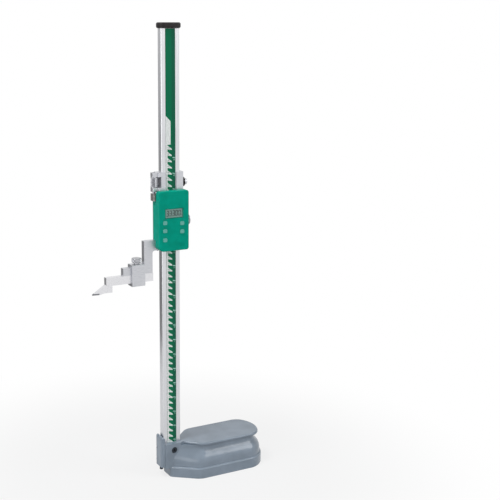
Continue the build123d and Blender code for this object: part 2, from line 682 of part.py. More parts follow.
def scriber_stud():
    """Threaded stud of the scriber clamp."""
    end = CLAMP_TOP + CLEAR + SCRIBER_KNOB_NECK_H + SCRIBER_STUD_IN
    return rod_z(KNOB_STUD_R, CLAMP_X, JAW_MID, ARM_TOP + ARM_GAP, end)


# ---------------------------------------------------------------- display housing
def housing_outline(margin, y0, y1):
    """Front view outline of the housing, moved inward by a margin, as a solid along Y."""
    left = -HOUSING_HALF + margin
    right = HOUSING_HALF - margin
    low = DECK + margin
    high = HOUSING_TOP - margin
    body = prism_y([(left, low), (left, high), (right, high), (right, low)], y0, y1)
    corners = body.edges().filter_by(Axis.Y)
    low_left = corners.filter_by_position(Axis.X, left - 0.1, left + 0.1)
    low_left = low_left.filter_by_position(Axis.Z, low - 0.1, low + 0.1)
    body = fillet(low_left, HOUSING_LOW_LEFT_R - margin)
    rest = body.edges().filter_by(Axis.Y).filter_by(GeomType.LINE)
    rest = rest.filter_by_position(Axis.Z, high - 0.1, high + 0.1)
    right_low = body.edges().filter_by(Axis.Y).filter_by_position(Axis.X, right - 0.1, right + 0.1)
    right_low = right_low.filter_by_position(Axis.Z, low - 0.1, low + 0.1)
    return fillet(rest + right_low, HOUSING_R - margin)


def key_pad(x, z, grow, y0, y1):
    """Rounded rectangle of a button, grown by a margin, as a solid along Y."""
    half_w = BUTTON_W / 2 + grow
    half_h = BUTTON_H / 2 + grow
    body = block(x - half_w, x + half_w, y0, y1, z - half_h, z + half_h)
    return fillet(body.edges().filter_by(Axis.Y), BUTTON_R)


def key_places():
    """Centre of every button, left column first."""
    places = [(LEFT_KEYS_X, DECK + rise) for rise in LEFT_KEYS_RISE]
    return places + [(RIGHT_KEYS_X, DECK + rise) for rise in RIGHT_KEYS_RISE]


def battery_bay():
    """Solid walls round the coin cell, before its well is cut."""
    left = COVER_LEFT - PANEL_TONGUE - BAY_WALL
    top = DECK + COVER_H + SEAT + BAY_WALL
    return block(left, HOUSING_IN + 0.5, WALL_IN - 0.5, BAY_BACK, DECK + HOUSING_WALL - 0.5, top)


def housing():
    """Moulded shell over the front and both sides of the slider frame."""
    body = housing_outline(0, HOUSING_FRONT, HOUSING_BACK)
    body = fillet(rim_edges(body, Axis.Y, HOUSING_FRONT), HOUSING_EDGE_R)
    body = body - housing_outline(HOUSING_WALL, WALL_IN, HOUSING_BACK + 1)
    lip = FRAME_FRONT - LIP_GAP
    body = body - block(-HOUSING_IN, HOUSING_IN, lip, HOUSING_BACK + 1, DECK - 1, HOUSING_TOP + 1)
    body = body + battery_bay()
    for x in (-HOUSING_SCREW_X, HOUSING_SCREW_X):
        for z in HOUSING_SCREW_Z:
            boss = rod_y(BOSS_R, x, WALL_IN - 0.2, BOARD_BACK, z)
            screw_start = FRAME_FRONT - BOSS_SCREW_DEPTH - 0.5
            body = body + boss - rod_y(HOUSING_SCREW_R + FIT, x, screw_start, BOARD_BACK + 1, z)
    block_in = block(
        BLOCK_LEFT - 0.5, BEAM_LEFT + 0.5, -BLOCK_HALF - 0.5, HOUSING_BACK + 1, DECK - 1, BLOCK_STOP + 0.5
    )
    body = body - block_in
    web_top = DECK + JAW_TOP_RISE + CLEAR
    web_front = JAW_FRONT - CLEAR
    body = body - block(-HOUSING_HALF - 1, -HOUSING_IN + 1, web_front, HOUSING_BACK + 1, DECK - 1, web_top)
    anchor_front = -ANCHOR_HALF - CLEAR
    anchor_low = ANCHOR_BOTTOM - CLEAR
    body = body - block(
        -HOUSING_HALF - 1, -HOUSING_IN + 1, anchor_front, HOUSING_BACK + 1, anchor_low, HOUSING_TOP + 1
    )
    window_low = DECK + WINDOW_RISE
    window_high = window_low + WINDOW_H
    body = body - block(
        -WINDOW_HALF, WINDOW_HALF, HOUSING_FRONT - 1, HOUSING_FRONT + WINDOW_T, window_low, window_high
    )
    sight = WINDOW_HALF - WINDOW_LEDGE
    body = body - block(
        -sight, sight, HOUSING_FRONT, WALL_IN + 1, window_low + WINDOW_LEDGE, window_high - WINDOW_LEDGE
    )
    for x, z in key_places():
        body = body - key_pad(x, z, SEAT, HOUSING_FRONT - 1, WALL_IN + 0.5)
    panel_top = DECK + COVER_H + SEAT
    body = body - block(
        COVER_LEFT - SEAT, COVER_RIGHT + SEAT, HOUSING_FRONT - 1, PANEL_BACK + SEAT, DECK - 1, panel_top
    )
    tongue_front = PANEL_BACK - PANEL_TONGUE_T - SEAT
    tongue_left = COVER_LEFT - PANEL_TONGUE - SEAT
    tongue_right = COVER_RIGHT + PANEL_TONGUE + SEAT
    body = body - block(tongue_left, tongue_right, tongue_front, PANEL_BACK + SEAT, DECK - 1, panel_top)
    body = body - rod_y(CELL_R + CELL_GAP, CELL_X, PANEL_BACK, CELL_BACK + SEAT, CELL_Z)
    body = body - rod_y(CONTACT_PAD_R + SEAT, CELL_X, CELL_BACK, BAY_BACK + 1, CELL_Z)
    slot_low = CELL_Z + CELL_R - 0.5
    slot_high = CELL_Z + CELL_R + CONTACT_T + CONTACT_SLOT
    slot_half = CONTACT_W / 2 + SEAT
    body = body - block(
        CELL_X - slot_half, CELL_X + slot_half, CELL_FRONT - SEAT, BAY_BACK + 1, slot_low, slot_high
    )
    body = body - rod_x(LOCK_HOLE_R, HOUSING_IN - 1, HOUSING_HALF + 1, 0, LOCK_Z)
    for z in GIB_SCREW_Z:
        body = body - rod_x(GIB_SCREW_R + CLEAR, HOUSING_IN - 1, HOUSING_HALF + 1, 0, z)
    return body


def housing_screws():
    """Four screws from the back of the frame into the bosses of the housing."""
    screws = []
    for x in (-HOUSING_SCREW_X, HOUSING_SCREW_X):
        for z in HOUSING_SCREW_Z:
            head_start = FRAME_BACK - HOUSING_SCREW_HEAD_T
            head = rod_y(HOUSING_SCREW_HEAD_R, x, head_start, FRAME_BACK - 0.3, z)
            shank = rod_y(HOUSING_SCREW_R, x, FRAME_FRONT - BOSS_SCREW_DEPTH, head_start + 0.5, z)
            screws.append(head + shank - key_y(1.5, x, FRAME_BACK - 1.6, FRAME_BACK, z))
    return screws


def display_window():
    """Clear window in front of the display."""
    front = HOUSING_FRONT + 0.05
    back = HOUSING_FRONT + WINDOW_T
    low = DECK + WINDOW_RISE + SEAT
    high = DECK + WINDOW_RISE + WINDOW_H - SEAT
    return block(-WINDOW_HALF + SEAT, WINDOW_HALF - SEAT, front, back, low, high)


def lcd_glass():
    """Glass of the liquid crystal display, behind the window."""
    return block(-LCD_HALF, LCD_HALF, LCD_FRONT, LCD_BACK, LCD_LOW, LCD_HIGH)


def lcd_holder():
    """Frame that stands on the board and carries the display glass."""
    body = block(-LCD_HALF, LCD_HALF, LCD_BACK, BOARD_FRONT, LCD_LOW, LCD_HIGH)
    inner = LCD_HALF - HOLDER_WALL
    return body - block(
        -inner, inner, LCD_BACK - 1, BOARD_FRONT + 1, LCD_LOW + HOLDER_WALL, LCD_HIGH - HOLDER_WALL
    )


def elastomer_strips():
    """Two conductive rubber strips between the board and the display glass."""
    half = LCD_HALF - HOLDER_WALL - SEAT
    low = LCD_LOW + HOLDER_WALL + SEAT
    high = LCD_HIGH - HOLDER_WALL - SEAT
    lower = block(-half, half, LCD_BACK, BOARD_FRONT, low, low + ELASTOMER_W)
    upper = block(-half, half, LCD_BACK, BOARD_FRONT, high - ELASTOMER_W, high)
    return [lower, upper]


def main_board():
    """Circuit board on the front of the frame, with one corner off for the clamp block."""
    low = DECK + BOARD_RISE
    high = FRAME_TOP - BOARD_DROP
    body = block(-BOARD_HALF, BOARD_HALF, BOARD_FRONT, BOARD_BACK, low, high)
    body = body - block(
        -BOARD_HALF - 1, BEAM_LEFT + 0.5, BOARD_FRONT - 1, BOARD_BACK + 1, DECK, BLOCK_STOP + 0.5
    )
    for x in (-HOUSING_SCREW_X, HOUSING_SCREW_X):
        for z in HOUSING_SCREW_Z:
            body = body - rod_y(BOSS_R + SEAT, x, BOARD_FRONT - 1, BOARD_BACK + 1, z)
    return body


def reader_board():
    """Sensing board that faces the scale through the front of the frame."""
    low = DECK + READER_RISE
    high = FRAME_TOP - READER_DROP
    return block(-READER_HALF, READER_HALF, FRAME_FRONT, FRAME_FRONT + READER_T, low, high)


def key_switches():
    """One small switch on the board behind each button."""
    switches = []
    for x, z in key_places():
        half = SWITCH_W / 2
        base = block(x - half, x + half, BOARD_FRONT - SWITCH_T, BOARD_FRONT, z - half, z + half)
        switches.append(base + rod_y(PLUNGER_R, x, SWITCH_FRONT, BOARD_FRONT - 0.2, z))
    return switches


def button(x, z):
    """Push button: cap in front of the shell, flange behind it and a stem to the switch."""
    flange_back = WALL_IN + SEAT + BUTTON_FLANGE_T
    cap = key_pad(x, z, 0, HOUSING_FRONT - BUTTON_PROUD, WALL_IN + SEAT + 0.2)
    cap = fillet(rim_edges(cap, Axis.Y, HOUSING_FRONT - BUTTON_PROUD), 0.4)
    flange = key_pad(x, z, BUTTON_FLANGE, WALL_IN + SEAT, flange_back)
    stem = rod_y(BUTTON_STEM_R, x, flange_back - 0.2, SWITCH_FRONT - BUTTON_TRAVEL, z)
    return cap + flange + stem


def coin_cell():
    """Flat lithium cell with a stepped negative side."""
    can = rod_y(CELL_R, CELL_X, CELL_FRONT, CELL_BACK - 0.5, CELL_Z)
    return can + rod_y(CELL_R - 1.6, CELL_X, CELL_BACK - 0.6, CELL_BACK, CELL_Z)


def battery_contacts():
    """Side contact on the can and centre contact behind the cell."""
    low = CELL_Z + CELL_R + FIT
    half = CONTACT_W / 2
    side = block(CELL_X - half, CELL_X + half, CELL_FRONT, BOARD_FRONT, low, low + CONTACT_T)
    pad = rod_y(CONTACT_PAD_R, CELL_X, CELL_BACK + FIT, CELL_BACK + FIT + CONTACT_T, CELL_Z)
    post = rod_y(CONTACT_POST_R, CELL_X, CELL_BACK + FIT, BOARD_FRONT, CELL_Z)
    return [side, pad + post]


def battery_cover():
    """Cover that slides down off the cell, with a tongue along each side and finger grooves."""
    top = DECK + COVER_H
    body = block(COVER_LEFT, COVER_RIGHT, HOUSING_FRONT, PANEL_BACK, DECK + SEAT, top)
    low_edge = rim_edges(body, Axis.Z, DECK + SEAT).sort_by(Axis.Y)[0]
    body = fillet(low_edge, PANEL_EDGE_R)
    tongue_front = PANEL_BACK - PANEL_TONGUE_T
    left = COVER_LEFT - PANEL_TONGUE
    right = COVER_RIGHT + PANEL_TONGUE
    body = body + block(left, right, tongue_front, PANEL_BACK, DECK + HOUSING_R, top)
    middle = (COVER_LEFT + COVER_RIGHT) / 2
    for step in range(3):
        z = DECK + 7 + 2 * step
        body = body - block(middle - 5, middle + 5, HOUSING_FRONT - 1, HOUSING_FRONT + 0.4, z, z + 0.8)
    return body


# ---------------------------------------------------------------- fine-adjust feed
def spindle_anchor():
    """Dark steel block on the side of the frame that holds the lower end of the spindle."""
    body = block(ANCHOR_LEFT, -FRAME_HALF, -ANCHOR_HALF, ANCHOR_HALF, ANCHOR_BOTTOM, ANCHOR_TOP)
    outer = body.edges().filter_by(Axis.Z).sort_by(Axis.X)[:2]
    body = fillet(outer, 1.5)
    body = body - rod_z(SPINDLE_R + FIT, SPINDLE_X, 0, ANCHOR_BOTTOM + 1, ANCHOR_TOP + 1)
    for y in (-ANCHOR_SCREW_Y, ANCHOR_SCREW_Y):
        z = ANCHOR_BOTTOM + ANCHOR_H / 2
        body = body - rod_x(ANCHOR_SCREW_R + FIT, ANCHOR_LEFT - 1, -FRAME_HALF + 1, y, z)
    return body


def anchor_screws():
    """Two screws that hold the anchor to the frame."""
    screws = []
    for y in (-ANCHOR_SCREW_Y, ANCHOR_SCREW_Y):
        z = ANCHOR_BOTTOM + ANCHOR_H / 2
        screw = rod_x(ANCHOR_SCREW_R, ANCHOR_LEFT + 0.3, -FRAME_HALF + ANCHOR_SCREW_L, y, z)
        screws.append(screw - key_x(1.3, ANCHOR_LEFT, ANCHOR_LEFT + 0.3 + KEY_DEPTH, y, z))
    return screws


def fine_spindle():
    """Threaded spindle that hangs the slider from the carriage."""
    return rod_z(SPINDLE_R, SPINDLE_X, 0, ANCHOR_BOTTOM + 1, CARRIAGE_TOP - SPINDLE_END_DROP)


def fine_nut():
    """Knurled nut caught between the lugs of the carriage."""
    low = LUG_LOW_TOP + NUT_PLAY
    return Pos(SPINDLE_X, 0, low) * knob(NUT_R, NUT_H, KNOB_BEVEL) - rod_z(
        SPINDLE_R + FIT, SPINDLE_X, 0, low - 1, low + NUT_H + 1
    )


def carriage_frame():
    """Box guide above the slider, with two lugs on its left for the nut."""
    half = CARRIAGE_HALF
    body = block(-half, half, CARRIAGE_FRONT, CARRIAGE_BACK, CARRIAGE_BOTTOM, CARRIAGE_TOP)
    body = fillet(body.edges().filter_by(Axis.Z), CARRIAGE_EDGE_R)
    lug = block(LUG_LEFT, -CARRIAGE_HALF + 2, -LUG_HALF, LUG_HALF, CARRIAGE_BOTTOM, CARRIAGE_TOP)
    body = body + fillet(lug.edges().filter_by(Axis.Z).sort_by(Axis.X)[:2], CARRIAGE_EDGE_R)
    body = body - block(
        BEAM_LEFT - GUIDE,
        BEAM_RIGHT + GUIDE,
        BEAM_FRONT - GUIDE,
        BEAM_BACK + GUIDE,
        CARRIAGE_BOTTOM - 1,
        CARRIAGE_TOP + 1,
    )
    open_half = CARRIAGE_OPEN_HALF
    body = body - block(-open_half, open_half, CARRIAGE_FRONT - 1, 0, CARRIAGE_BOTTOM - 1, CARRIAGE_TOP + 1)
    window_right = BEAM_LEFT - GUIDE - LUG_WEB
    window_back = NUT_R + 1
    body = body - block(
        LUG_LEFT - 1, window_right, CARRIAGE_FRONT - 1, window_back, LUG_LOW_TOP, LUG_HIGH_BOTTOM
    )
    hole_r = SPINDLE_R + LUG_HOLE_GAP
    body = body - rod_z(hole_r, SPINDLE_X, 0, CARRIAGE_BOTTOM - 1, CARRIAGE_TOP + 1)
    return body - rod_x(KNOB_STUD_R + FIT, BEAM_RIGHT - 1, CARRIAGE_HALF + 1, 0, CARRIAGE_KNOB_Z)


def carriage_pad():
    """Brass pad between the clamp screw and the beam."""
    start = BEAM_RIGHT + GUIDE
    return rod_x(PAD_R, start, start + PAD_T, 0, CARRIAGE_KNOB_Z)


# ---------------------------------------------------------------- side clamp screws
def lock_knob():
    """Knurled knob that locks the slider on the beam."""
    start = HOUSING_HALF + LOCK_KNOB_GAP
    body = Pos(start, 0, LOCK_Z) * Rot(0, 90, 0) * knob(LOCK_KNOB_R, LOCK_KNOB_L, KNOB_BEVEL)
    return body - rod_x(KNOB_STUD_R + FIT, start - 1, start + LOCK_STUD_IN, 0, LOCK_Z)


def lock_stud():
    """Threaded stud from the knob to the gib strip."""
    start = FRAME_BORE_RIGHT + FIT
    return rod_x(KNOB_STUD_R, start, HOUSING_HALF + LOCK_KNOB_GAP + LOCK_STUD_IN, 0, LOCK_Z)


def carriage_knob():
    """Black knurled collar of the carriage clamp."""
    start = CARRIAGE_HALF + CARRIAGE_KNOB_GAP
    body = knob(CARRIAGE_KNOB_R, CARRIAGE_KNOB_L, KNOB_BEVEL)
    body = Pos(start, 0, CARRIAGE_KNOB_Z) * Rot(0, 90, 0) * body
    return body - rod_x(KNOB_STUD_R + FIT, start - 1, start + CARRIAGE_KNOB_L + 1, 0, CARRIAGE_KNOB_Z)


def carriage_stud():
    """Stud of the carriage clamp with its round steel end outside the collar."""
    start = BEAM_RIGHT + GUIDE + PAD_T + FIT
    collar_end = CARRIAGE_HALF + CARRIAGE_KNOB_GAP + CARRIAGE_KNOB_L
    end = rod_x(CARRIAGE_END_R, collar_end, collar_end + CARRIAGE_END_L, 0, CARRIAGE_KNOB_Z)
    end = fillet(rim_edges(end, Axis.X, collar_end + CARRIAGE_END_L), 1.0)
    return end + rod_x(KNOB_STUD_R, start, collar_end + 1, 0, CARRIAGE_KNOB_Z)


# ---------------------------------------------------------------- every piece by name
BUTTON_NAMES = ("power_button", "zero_button", "unit_button", "preset_button", "hold_button")

PIECES = {
    "base_casting": base_casting(),
    "beam_clamp_block": clamp_block(),
    "clamp_block_screws": clamp_block_screws(),
    "block_jack_screw": jack_screw(),
    "base_front_screw": front_screw(),
    "column_beam": column_beam(),
    "scale_circuit_strip": scale_circuit(),
    "scale_cover_strip": scale_cover(),
    "top_cap": top_cap(),
    "top_cap_screw": cap_screw(),
    "slider_frame": slider_frame(),
    "gib_strip": gib_strip(),
    "gib_screws": gib_screws(),
    "scriber_bar": scriber_bar(),
    "scriber_tip": scriber_tip(),
    "scriber_clamp_box": scriber_clamp_box(),
    "scriber_clamp_knob": scriber_knob(),
    "scriber_clamp_stud": scriber_stud(),
    "display_housing": housing(),
    "housing_screws": housing_screws(),
    "display_window": display_window(),
    "lcd_glass": lcd_glass(),
    "lcd_holder": lcd_holder(),
    "elastomer_strips": elastomer_strips(),
    "main_board": main_board(),
    "reader_board": reader_board(),
    "key_switches": key_switches(),
    "coin_cell": coin_cell(),
    "battery_contacts": battery_contacts(),
    "battery_cover": battery_cover(),
    "spindle_anchor": spindle_anchor(),
    "anchor_screws": anchor_screws(),
    "fine_spindle": fine_spindle(),
    "fine_nut": fine_nut(),
    "carriage_frame": carriage_frame(),
    "carriage_clamp_pad": carriage_pad(),
    "slider_lock_knob": lock_knob(),
    "slider_lock_stud": lock_stud(),
    "carriage_clamp_collar": carriage_knob(),
    "carriage_clamp_stud": carriage_stud(),
}
for name, (x, z) in zip(BUTTON_NAMES, key_places()):
    PIECES[name] = button(x, z)

for name, piece in PIECES.items():
    if isinstance(piece, list):
        piece = Compound(children=piece)
    export_step(piece, f"parts/{name}.step")
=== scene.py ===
# %% [markdown]
# # A digital height gauge
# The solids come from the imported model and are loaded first, in metres, each where it belongs.
# Everything after that dresses them: finishes for every piece, and a few new pieces (knurls,
# thread, printing, display figures) that are too fine for the solids.

# %% Load the solids
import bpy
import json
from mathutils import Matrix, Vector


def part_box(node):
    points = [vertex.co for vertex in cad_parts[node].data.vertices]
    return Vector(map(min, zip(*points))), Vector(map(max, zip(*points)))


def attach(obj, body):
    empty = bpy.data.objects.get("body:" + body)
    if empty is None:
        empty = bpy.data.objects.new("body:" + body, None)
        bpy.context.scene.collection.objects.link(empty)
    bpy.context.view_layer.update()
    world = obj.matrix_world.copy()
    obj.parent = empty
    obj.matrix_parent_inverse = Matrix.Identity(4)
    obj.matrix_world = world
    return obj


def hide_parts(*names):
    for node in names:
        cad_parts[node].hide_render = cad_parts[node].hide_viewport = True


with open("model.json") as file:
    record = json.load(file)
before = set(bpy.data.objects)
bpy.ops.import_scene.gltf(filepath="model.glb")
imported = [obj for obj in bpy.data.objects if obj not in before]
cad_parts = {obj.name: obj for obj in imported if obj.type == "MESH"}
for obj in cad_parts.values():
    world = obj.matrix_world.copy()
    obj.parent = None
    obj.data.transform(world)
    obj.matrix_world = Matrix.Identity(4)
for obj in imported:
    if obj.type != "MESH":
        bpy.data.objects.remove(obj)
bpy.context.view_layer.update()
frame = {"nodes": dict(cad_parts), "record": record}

# %% Libraries
import json
import math
import bpy
import numpy as np

MM = 0.001
TURN = 2 * math.pi
print("one millimetre is", MM, "m, one turn is", TURN)

# %% [markdown]
# ## Camera
# The gauge is tall and slim, and a long lens keeps its column straight. The camera stands to the
# left of the display and a little above the top cap, and looks down by less than 13 degrees. A
# small sideways shift puts the column left of the middle without turning the camera.

# %% Camera
scene = bpy.context.scene
camera = bpy.data.objects.new("camera", bpy.data.cameras.new("camera"))
scene.collection.objects.link(camera)
look_down, turn_right = 12.68, 27
camera.location = (-0.6951, -1.4386, 0.753)
camera.rotation_euler = (math.radians(90 - look_down), 0, math.radians(-turn_right))
camera.data.lens = 72
camera.data.sensor_width = 36
camera.data.shift_x = 0.12
scene.camera = camera
scene.view_settings.view_transform = "Standard"
print("camera at", tuple(camera.location), "lens", camera.data.lens)

# %% [markdown]
# ## Two small helpers for every material
# Colours are picked as the screen shows them (hex codes), but a renderer adds light up in linear
# values, so one function converts them. A second one adds a node together with its settings and
# links, so each material below reads as a short list of nodes.

# %% Helpers for materials
def linear(code):
    """Each channel c of a hex code: c / 12.92 for dark ones, else ((c + 0.055) / 1.055) ** 2.4."""
    channels = np.array([int(code[i:i + 2], 16) / 255 for i in (1, 3, 5)])
    bright = ((channels + 0.055) / 1.055) ** 2.4
    return (*np.where(channels <= 0.04045, channels / 12.92, bright).tolist(), 1.0)


def add(tree, kind, inputs=None, **settings):
    """Adds one node. Settings are its properties; inputs are values, or outputs of other nodes."""
    node = tree.nodes.new(kind)
    for name, value in settings.items():
        setattr(node, name, value)
    for name, value in (inputs or {}).items():
        if isinstance(value, bpy.types.NodeSocket):
            tree.links.new(value, node.inputs[name])
        else:
            node.inputs[name].default_value = value
    return node


print("linear mid grey:", linear("#808080")[0])

# %% [markdown]
# ## Studio
# A studio shows small parts on a white sheet under large soft lamps. The world gives even light
# from everywhere, and what the eye, a mirror or glass sees of it is white. Those three kinds of ray
# are asked for in one function, because the floor needs them too.

# %% Rays that see a picture
def seen_rays(tree):
    """1 for a ray that looks (from the camera, off a mirror, through glass), 0 for the others."""
    path = add(tree, "ShaderNodeLightPath")
    either = add(tree, "ShaderNodeMath", {0: path.outputs["Is Camera Ray"],
                                          1: path.outputs["Is Glossy Ray"]}, operation="MAXIMUM")
    any_of_three = add(tree, "ShaderNodeMath", {0: either.outputs[0],
                                                1: path.outputs["Is Transmission Ray"]},
                       operation="MAXIMUM")
    return path, any_of_three.outputs[0]


print("ray test ready")

# %% [markdown]
# Polished metal needs something dark to reflect or it looks like paper, so a studio stands a
# black card beside it. Here the world has one soft dark patch, behind on the left and a little low,
# that only reflections see. It is found by how well a direction lines up with the card's own.

# %% World
world = bpy.data.worlds.new("white studio")
scene.world = world
world.use_nodes = True
tree = world.node_tree
tree.nodes.clear()
path, seen = seen_rays(tree)
card_way = (-0.6, 0.7, -0.39)
direction = add(tree, "ShaderNodeTexCoord")
lined_up = add(tree, "ShaderNodeVectorMath", {0: direction.outputs["Generated"], 1: card_way},
               operation="DOT_PRODUCT")
card = add(tree, "ShaderNodeMapRange", {"Value": lined_up.outputs["Value"], "From Min": 0.84,
                                        "From Max": 0.97, "To Min": 0.0, "To Max": 0.92},
           interpolation_type="SMOOTHSTEP")
card_seen = add(tree, "ShaderNodeMath", {0: card.outputs["Result"],
                                         1: path.outputs["Is Glossy Ray"]}, operation="MULTIPLY")
seen_colour = add(tree, "ShaderNodeMix", {0: card_seen.outputs[0], 6: (1, 1, 1, 1),
                                          7: (0, 0, 0, 1)}, data_type="RGBA")
room_light = add(tree, "ShaderNodeBackground", {"Color": (0.97, 0.98, 1.0, 1), "Strength": 0.36})
picture = add(tree, "ShaderNodeBackground", {"Color": seen_colour.outputs[2], "Strength": 1.0})
both = add(tree, "ShaderNodeMixShader", {0: seen, 1: room_light.outputs[0], 2: picture.outputs[0]})
add(tree, "ShaderNodeOutputWorld", {"Surface": both.outputs[0]})
print("world nodes:", len(tree.nodes))

# %% [markdown]
# The lamps are large squares, because a large lamp has soft shadows. The main one stands to the
# right in front, so the side of the column that the camera sees is the shaded one and the column
# reads as a bar with two faces. A weak one low on the left keeps that side from going black. The
# smallest hangs high on the left: it lifts the top of the base and puts a gloss on its shoulder.

# %% Lamps
def softbox(name, place, aim, size, watts):
    """A square area lamp at place that faces aim."""
    lamp = bpy.data.objects.new(name, bpy.data.lights.new(name, "AREA"))
    scene.collection.objects.link(lamp)
    lamp.data.size = size
    lamp.data.energy = watts
    lamp.location = place
    toward = np.array(aim) - np.array(place)
    tilt = math.atan2(math.hypot(toward[0], toward[1]), -toward[2])
    lamp.rotation_euler = (tilt, 0, math.atan2(toward[1], toward[0]) - math.pi / 2)
    print(name, watts, "W")


softbox("main lamp", (1.7, -1.5, 1.6), (0, 0, 0.4), 1.2, 21)
softbox("fill lamp", (-1.65, -1.15, 0.6), (0, 0, 0.3), 1.2, 8)
softbox("overhead lamp", (-0.9, -0.2, 2.0), (0.08, 0, 0), 0.6, 19)

# %% [markdown]
# The floor is a sheet of pale card. Near the gauge part of what is seen is an ordinary matt
# surface, so the base stands in its own soft shadow; further out it fades into the white of the
# room. It is round and hardly larger than that fade, so upright steel above it reflects the room
# and the black card, not the sheet.

# %% Floor
sheet_radius, sheet_z, sheet_corners = 0.7, -0.0002, 96
sheet = bpy.data.meshes.new("floor_sheet")
edge = np.linspace(0, TURN, sheet_corners, endpoint=False)
rim_points = np.column_stack([sheet_radius * np.cos(edge), sheet_radius * np.sin(edge),
                              np.full(sheet_corners, sheet_z)])
sheet.from_pydata(rim_points.tolist(), [], [list(range(sheet_corners))])
floor = bpy.data.objects.new("floor_sheet", sheet)
scene.collection.objects.link(floor)
print("floor sheet:", sheet_corners, "corners")

# %% Card of the floor
card_white = bpy.data.materials.new("matt white card")
card_white.use_nodes = True
tree = card_white.node_tree
matt = tree.nodes["Principled BSDF"]
matt.inputs["Base Color"].default_value = linear("#D4D4D4")
matt.inputs["Roughness"].default_value = 0.9
matt.inputs["Specular IOR Level"].default_value = 0.1
where = add(tree, "ShaderNodeTexCoord")
far = add(tree, "ShaderNodeVectorMath", {0: where.outputs["Object"]}, operation="LENGTH")
fade = add(tree, "ShaderNodeMapRange", {"Value": far.outputs["Value"], "From Min": 0.2,
                                        "From Max": 0.6, "To Min": 0.78},
           interpolation_type="SMOOTHSTEP")
_, seen = seen_rays(tree)
share = add(tree, "ShaderNodeMath", {0: fade.outputs["Result"], 1: seen}, operation="MULTIPLY")
white = add(tree, "ShaderNodeEmission", {"Color": (1, 1, 1, 1), "Strength": 1.0})
sum_up = add(tree, "ShaderNodeMixShader", {0: share.outputs[0], 1: matt.outputs[0],
                                           2: white.outputs[0]})
tree.links.new(sum_up.outputs[0], tree.nodes["Material Output"].inputs["Surface"])
sheet.materials.append(card_white)
print("floor nodes:", len(tree.nodes))

# %% [markdown]
# ## Tools that the finishes share
# A finish is a shader's own values (metal or not, how strong its gloss is) plus what breaks it up.
# Real surfaces are never even: paint has clouds, ground steel has a grain that runs one way.
# `start_finish` makes the material, `clouds` makes a pattern whose size is given in millimetres and
# can be pulled out into a grain, `tint` and `polish` let a pattern drive colour and roughness, and
# `relief` lets it raise tiny hills that catch the light.

# %% Start of a finish
finishes = {}


def start_finish(name, **sockets):
    """A new material with one Principled shader; a socket's name has _ where it has a space."""
    material = bpy.data.materials.new(name)
    material.use_nodes = True
    shader = material.node_tree.nodes["Principled BSDF"]
    for socket, value in sockets.items():
        shader.inputs[socket.replace("_", " ")].default_value = value
    return material, material.node_tree, shader


print("ready for finishes")


# %% Patterns and relief
def clouds(tree, size_mm, stretch=(1, 1, 1), detail=3.0):
    """Smooth noise from 0 to 1 with blobs size_mm across; stretch pulls them along x, y or z."""
    where = add(tree, "ShaderNodeTexCoord")
    scale = [1 / (size_mm * MM * pull) for pull in stretch]
    turned = add(tree, "ShaderNodeMapping", {"Vector": where.outputs["Object"], "Scale": scale})
    noise = add(tree, "ShaderNodeTexNoise", {"Vector": turned.outputs[0], "Scale": 1.0,
                                             "Detail": detail})
    return noise.outputs["Fac"]


def stripes(tree, pitch_mm, way, **inputs):
    """Bands across one axis, from 0 to 1, with their crests pitch_mm apart."""
    where = add(tree, "ShaderNodeTexCoord")
    inputs.update({"Vector": where.outputs["Object"], "Scale": TURN / (20 * pitch_mm * MM)})
    return add(tree, "ShaderNodeTexWave", inputs, wave_type="BANDS",
               bands_direction=way).outputs["Fac"]


def tint(tree, shader, pattern, dark, light, low=0.35, high=0.65):
    """The base colour runs from dark to light as the pattern runs from low to high."""
    spread = add(tree, "ShaderNodeMapRange", {"Value": pattern, "From Min": low, "From Max": high})
    mixed = add(tree, "ShaderNodeMix", {0: spread.outputs[0], 6: linear(dark), 7: linear(light)},
                data_type="RGBA")
    tree.links.new(mixed.outputs[2], shader.inputs["Base Color"])
    return mixed.outputs[2]


def polish(tree, shader, pattern, smooth, rough):
    """The roughness runs from smooth to rough as the pattern runs over its middle."""
    spread = add(tree, "ShaderNodeMapRange", {"Value": pattern, "From Min": 0.3, "From Max": 0.7,
                                              "To Min": smooth, "To Max": rough})
    tree.links.new(spread.outputs[0], shader.inputs["Roughness"])


def relief(tree, shader, pattern, height_mm, strength=1.0):
    """Hills height_mm high where the pattern is 1."""
    hills = add(tree, "ShaderNodeBump", {"Height": pattern, "Distance": height_mm * MM,
                                         "Strength": strength})
    tree.links.new(hills.outputs[0], shader.inputs["Normal"])


print("finish tools ready")

# %% [markdown]
# ## Enamel on cast iron
# The base is a casting, filled, rubbed down and sprayed with a tough grey-blue enamel. Sprayed
# enamel levels out into "orange peel", a faint dimpling a millimetre or two across, and over the
# length of the base its colour drifts a little. The foot's rim is not painted: it is lapped flat,
# because heights are measured from it. One mask on height shows bare steel there.

# %% Enamel
enamel, tree, shader = start_finish("oven enamel on cast iron", Specular_IOR_Level=0.5)
painted = tint(tree, shader, clouds(tree, 28, detail=1.0), "#7B8895", "#8592A0")
polish(tree, shader, clouds(tree, 6), 0.15, 0.24)
relief(tree, shader, clouds(tree, 1.8, detail=0.0), 0.02)
bare_up_to = 0.35
where = add(tree, "ShaderNodeTexCoord")
height = add(tree, "ShaderNodeSeparateXYZ", {0: where.outputs["Object"]})
lapped = add(tree, "ShaderNodeMath", {0: height.outputs["Z"], 1: bare_up_to * MM},
             operation="LESS_THAN")
rim = add(tree, "ShaderNodeMix", {0: lapped.outputs[0], 6: painted, 7: linear("#B9BBBE")},
          data_type="RGBA")
tree.links.new(rim.outputs[2], shader.inputs["Base Color"])
tree.links.new(lapped.outputs[0], shader.inputs["Metallic"])
finishes["enamel"] = enamel
print("enamel:", len(tree.nodes), "nodes")

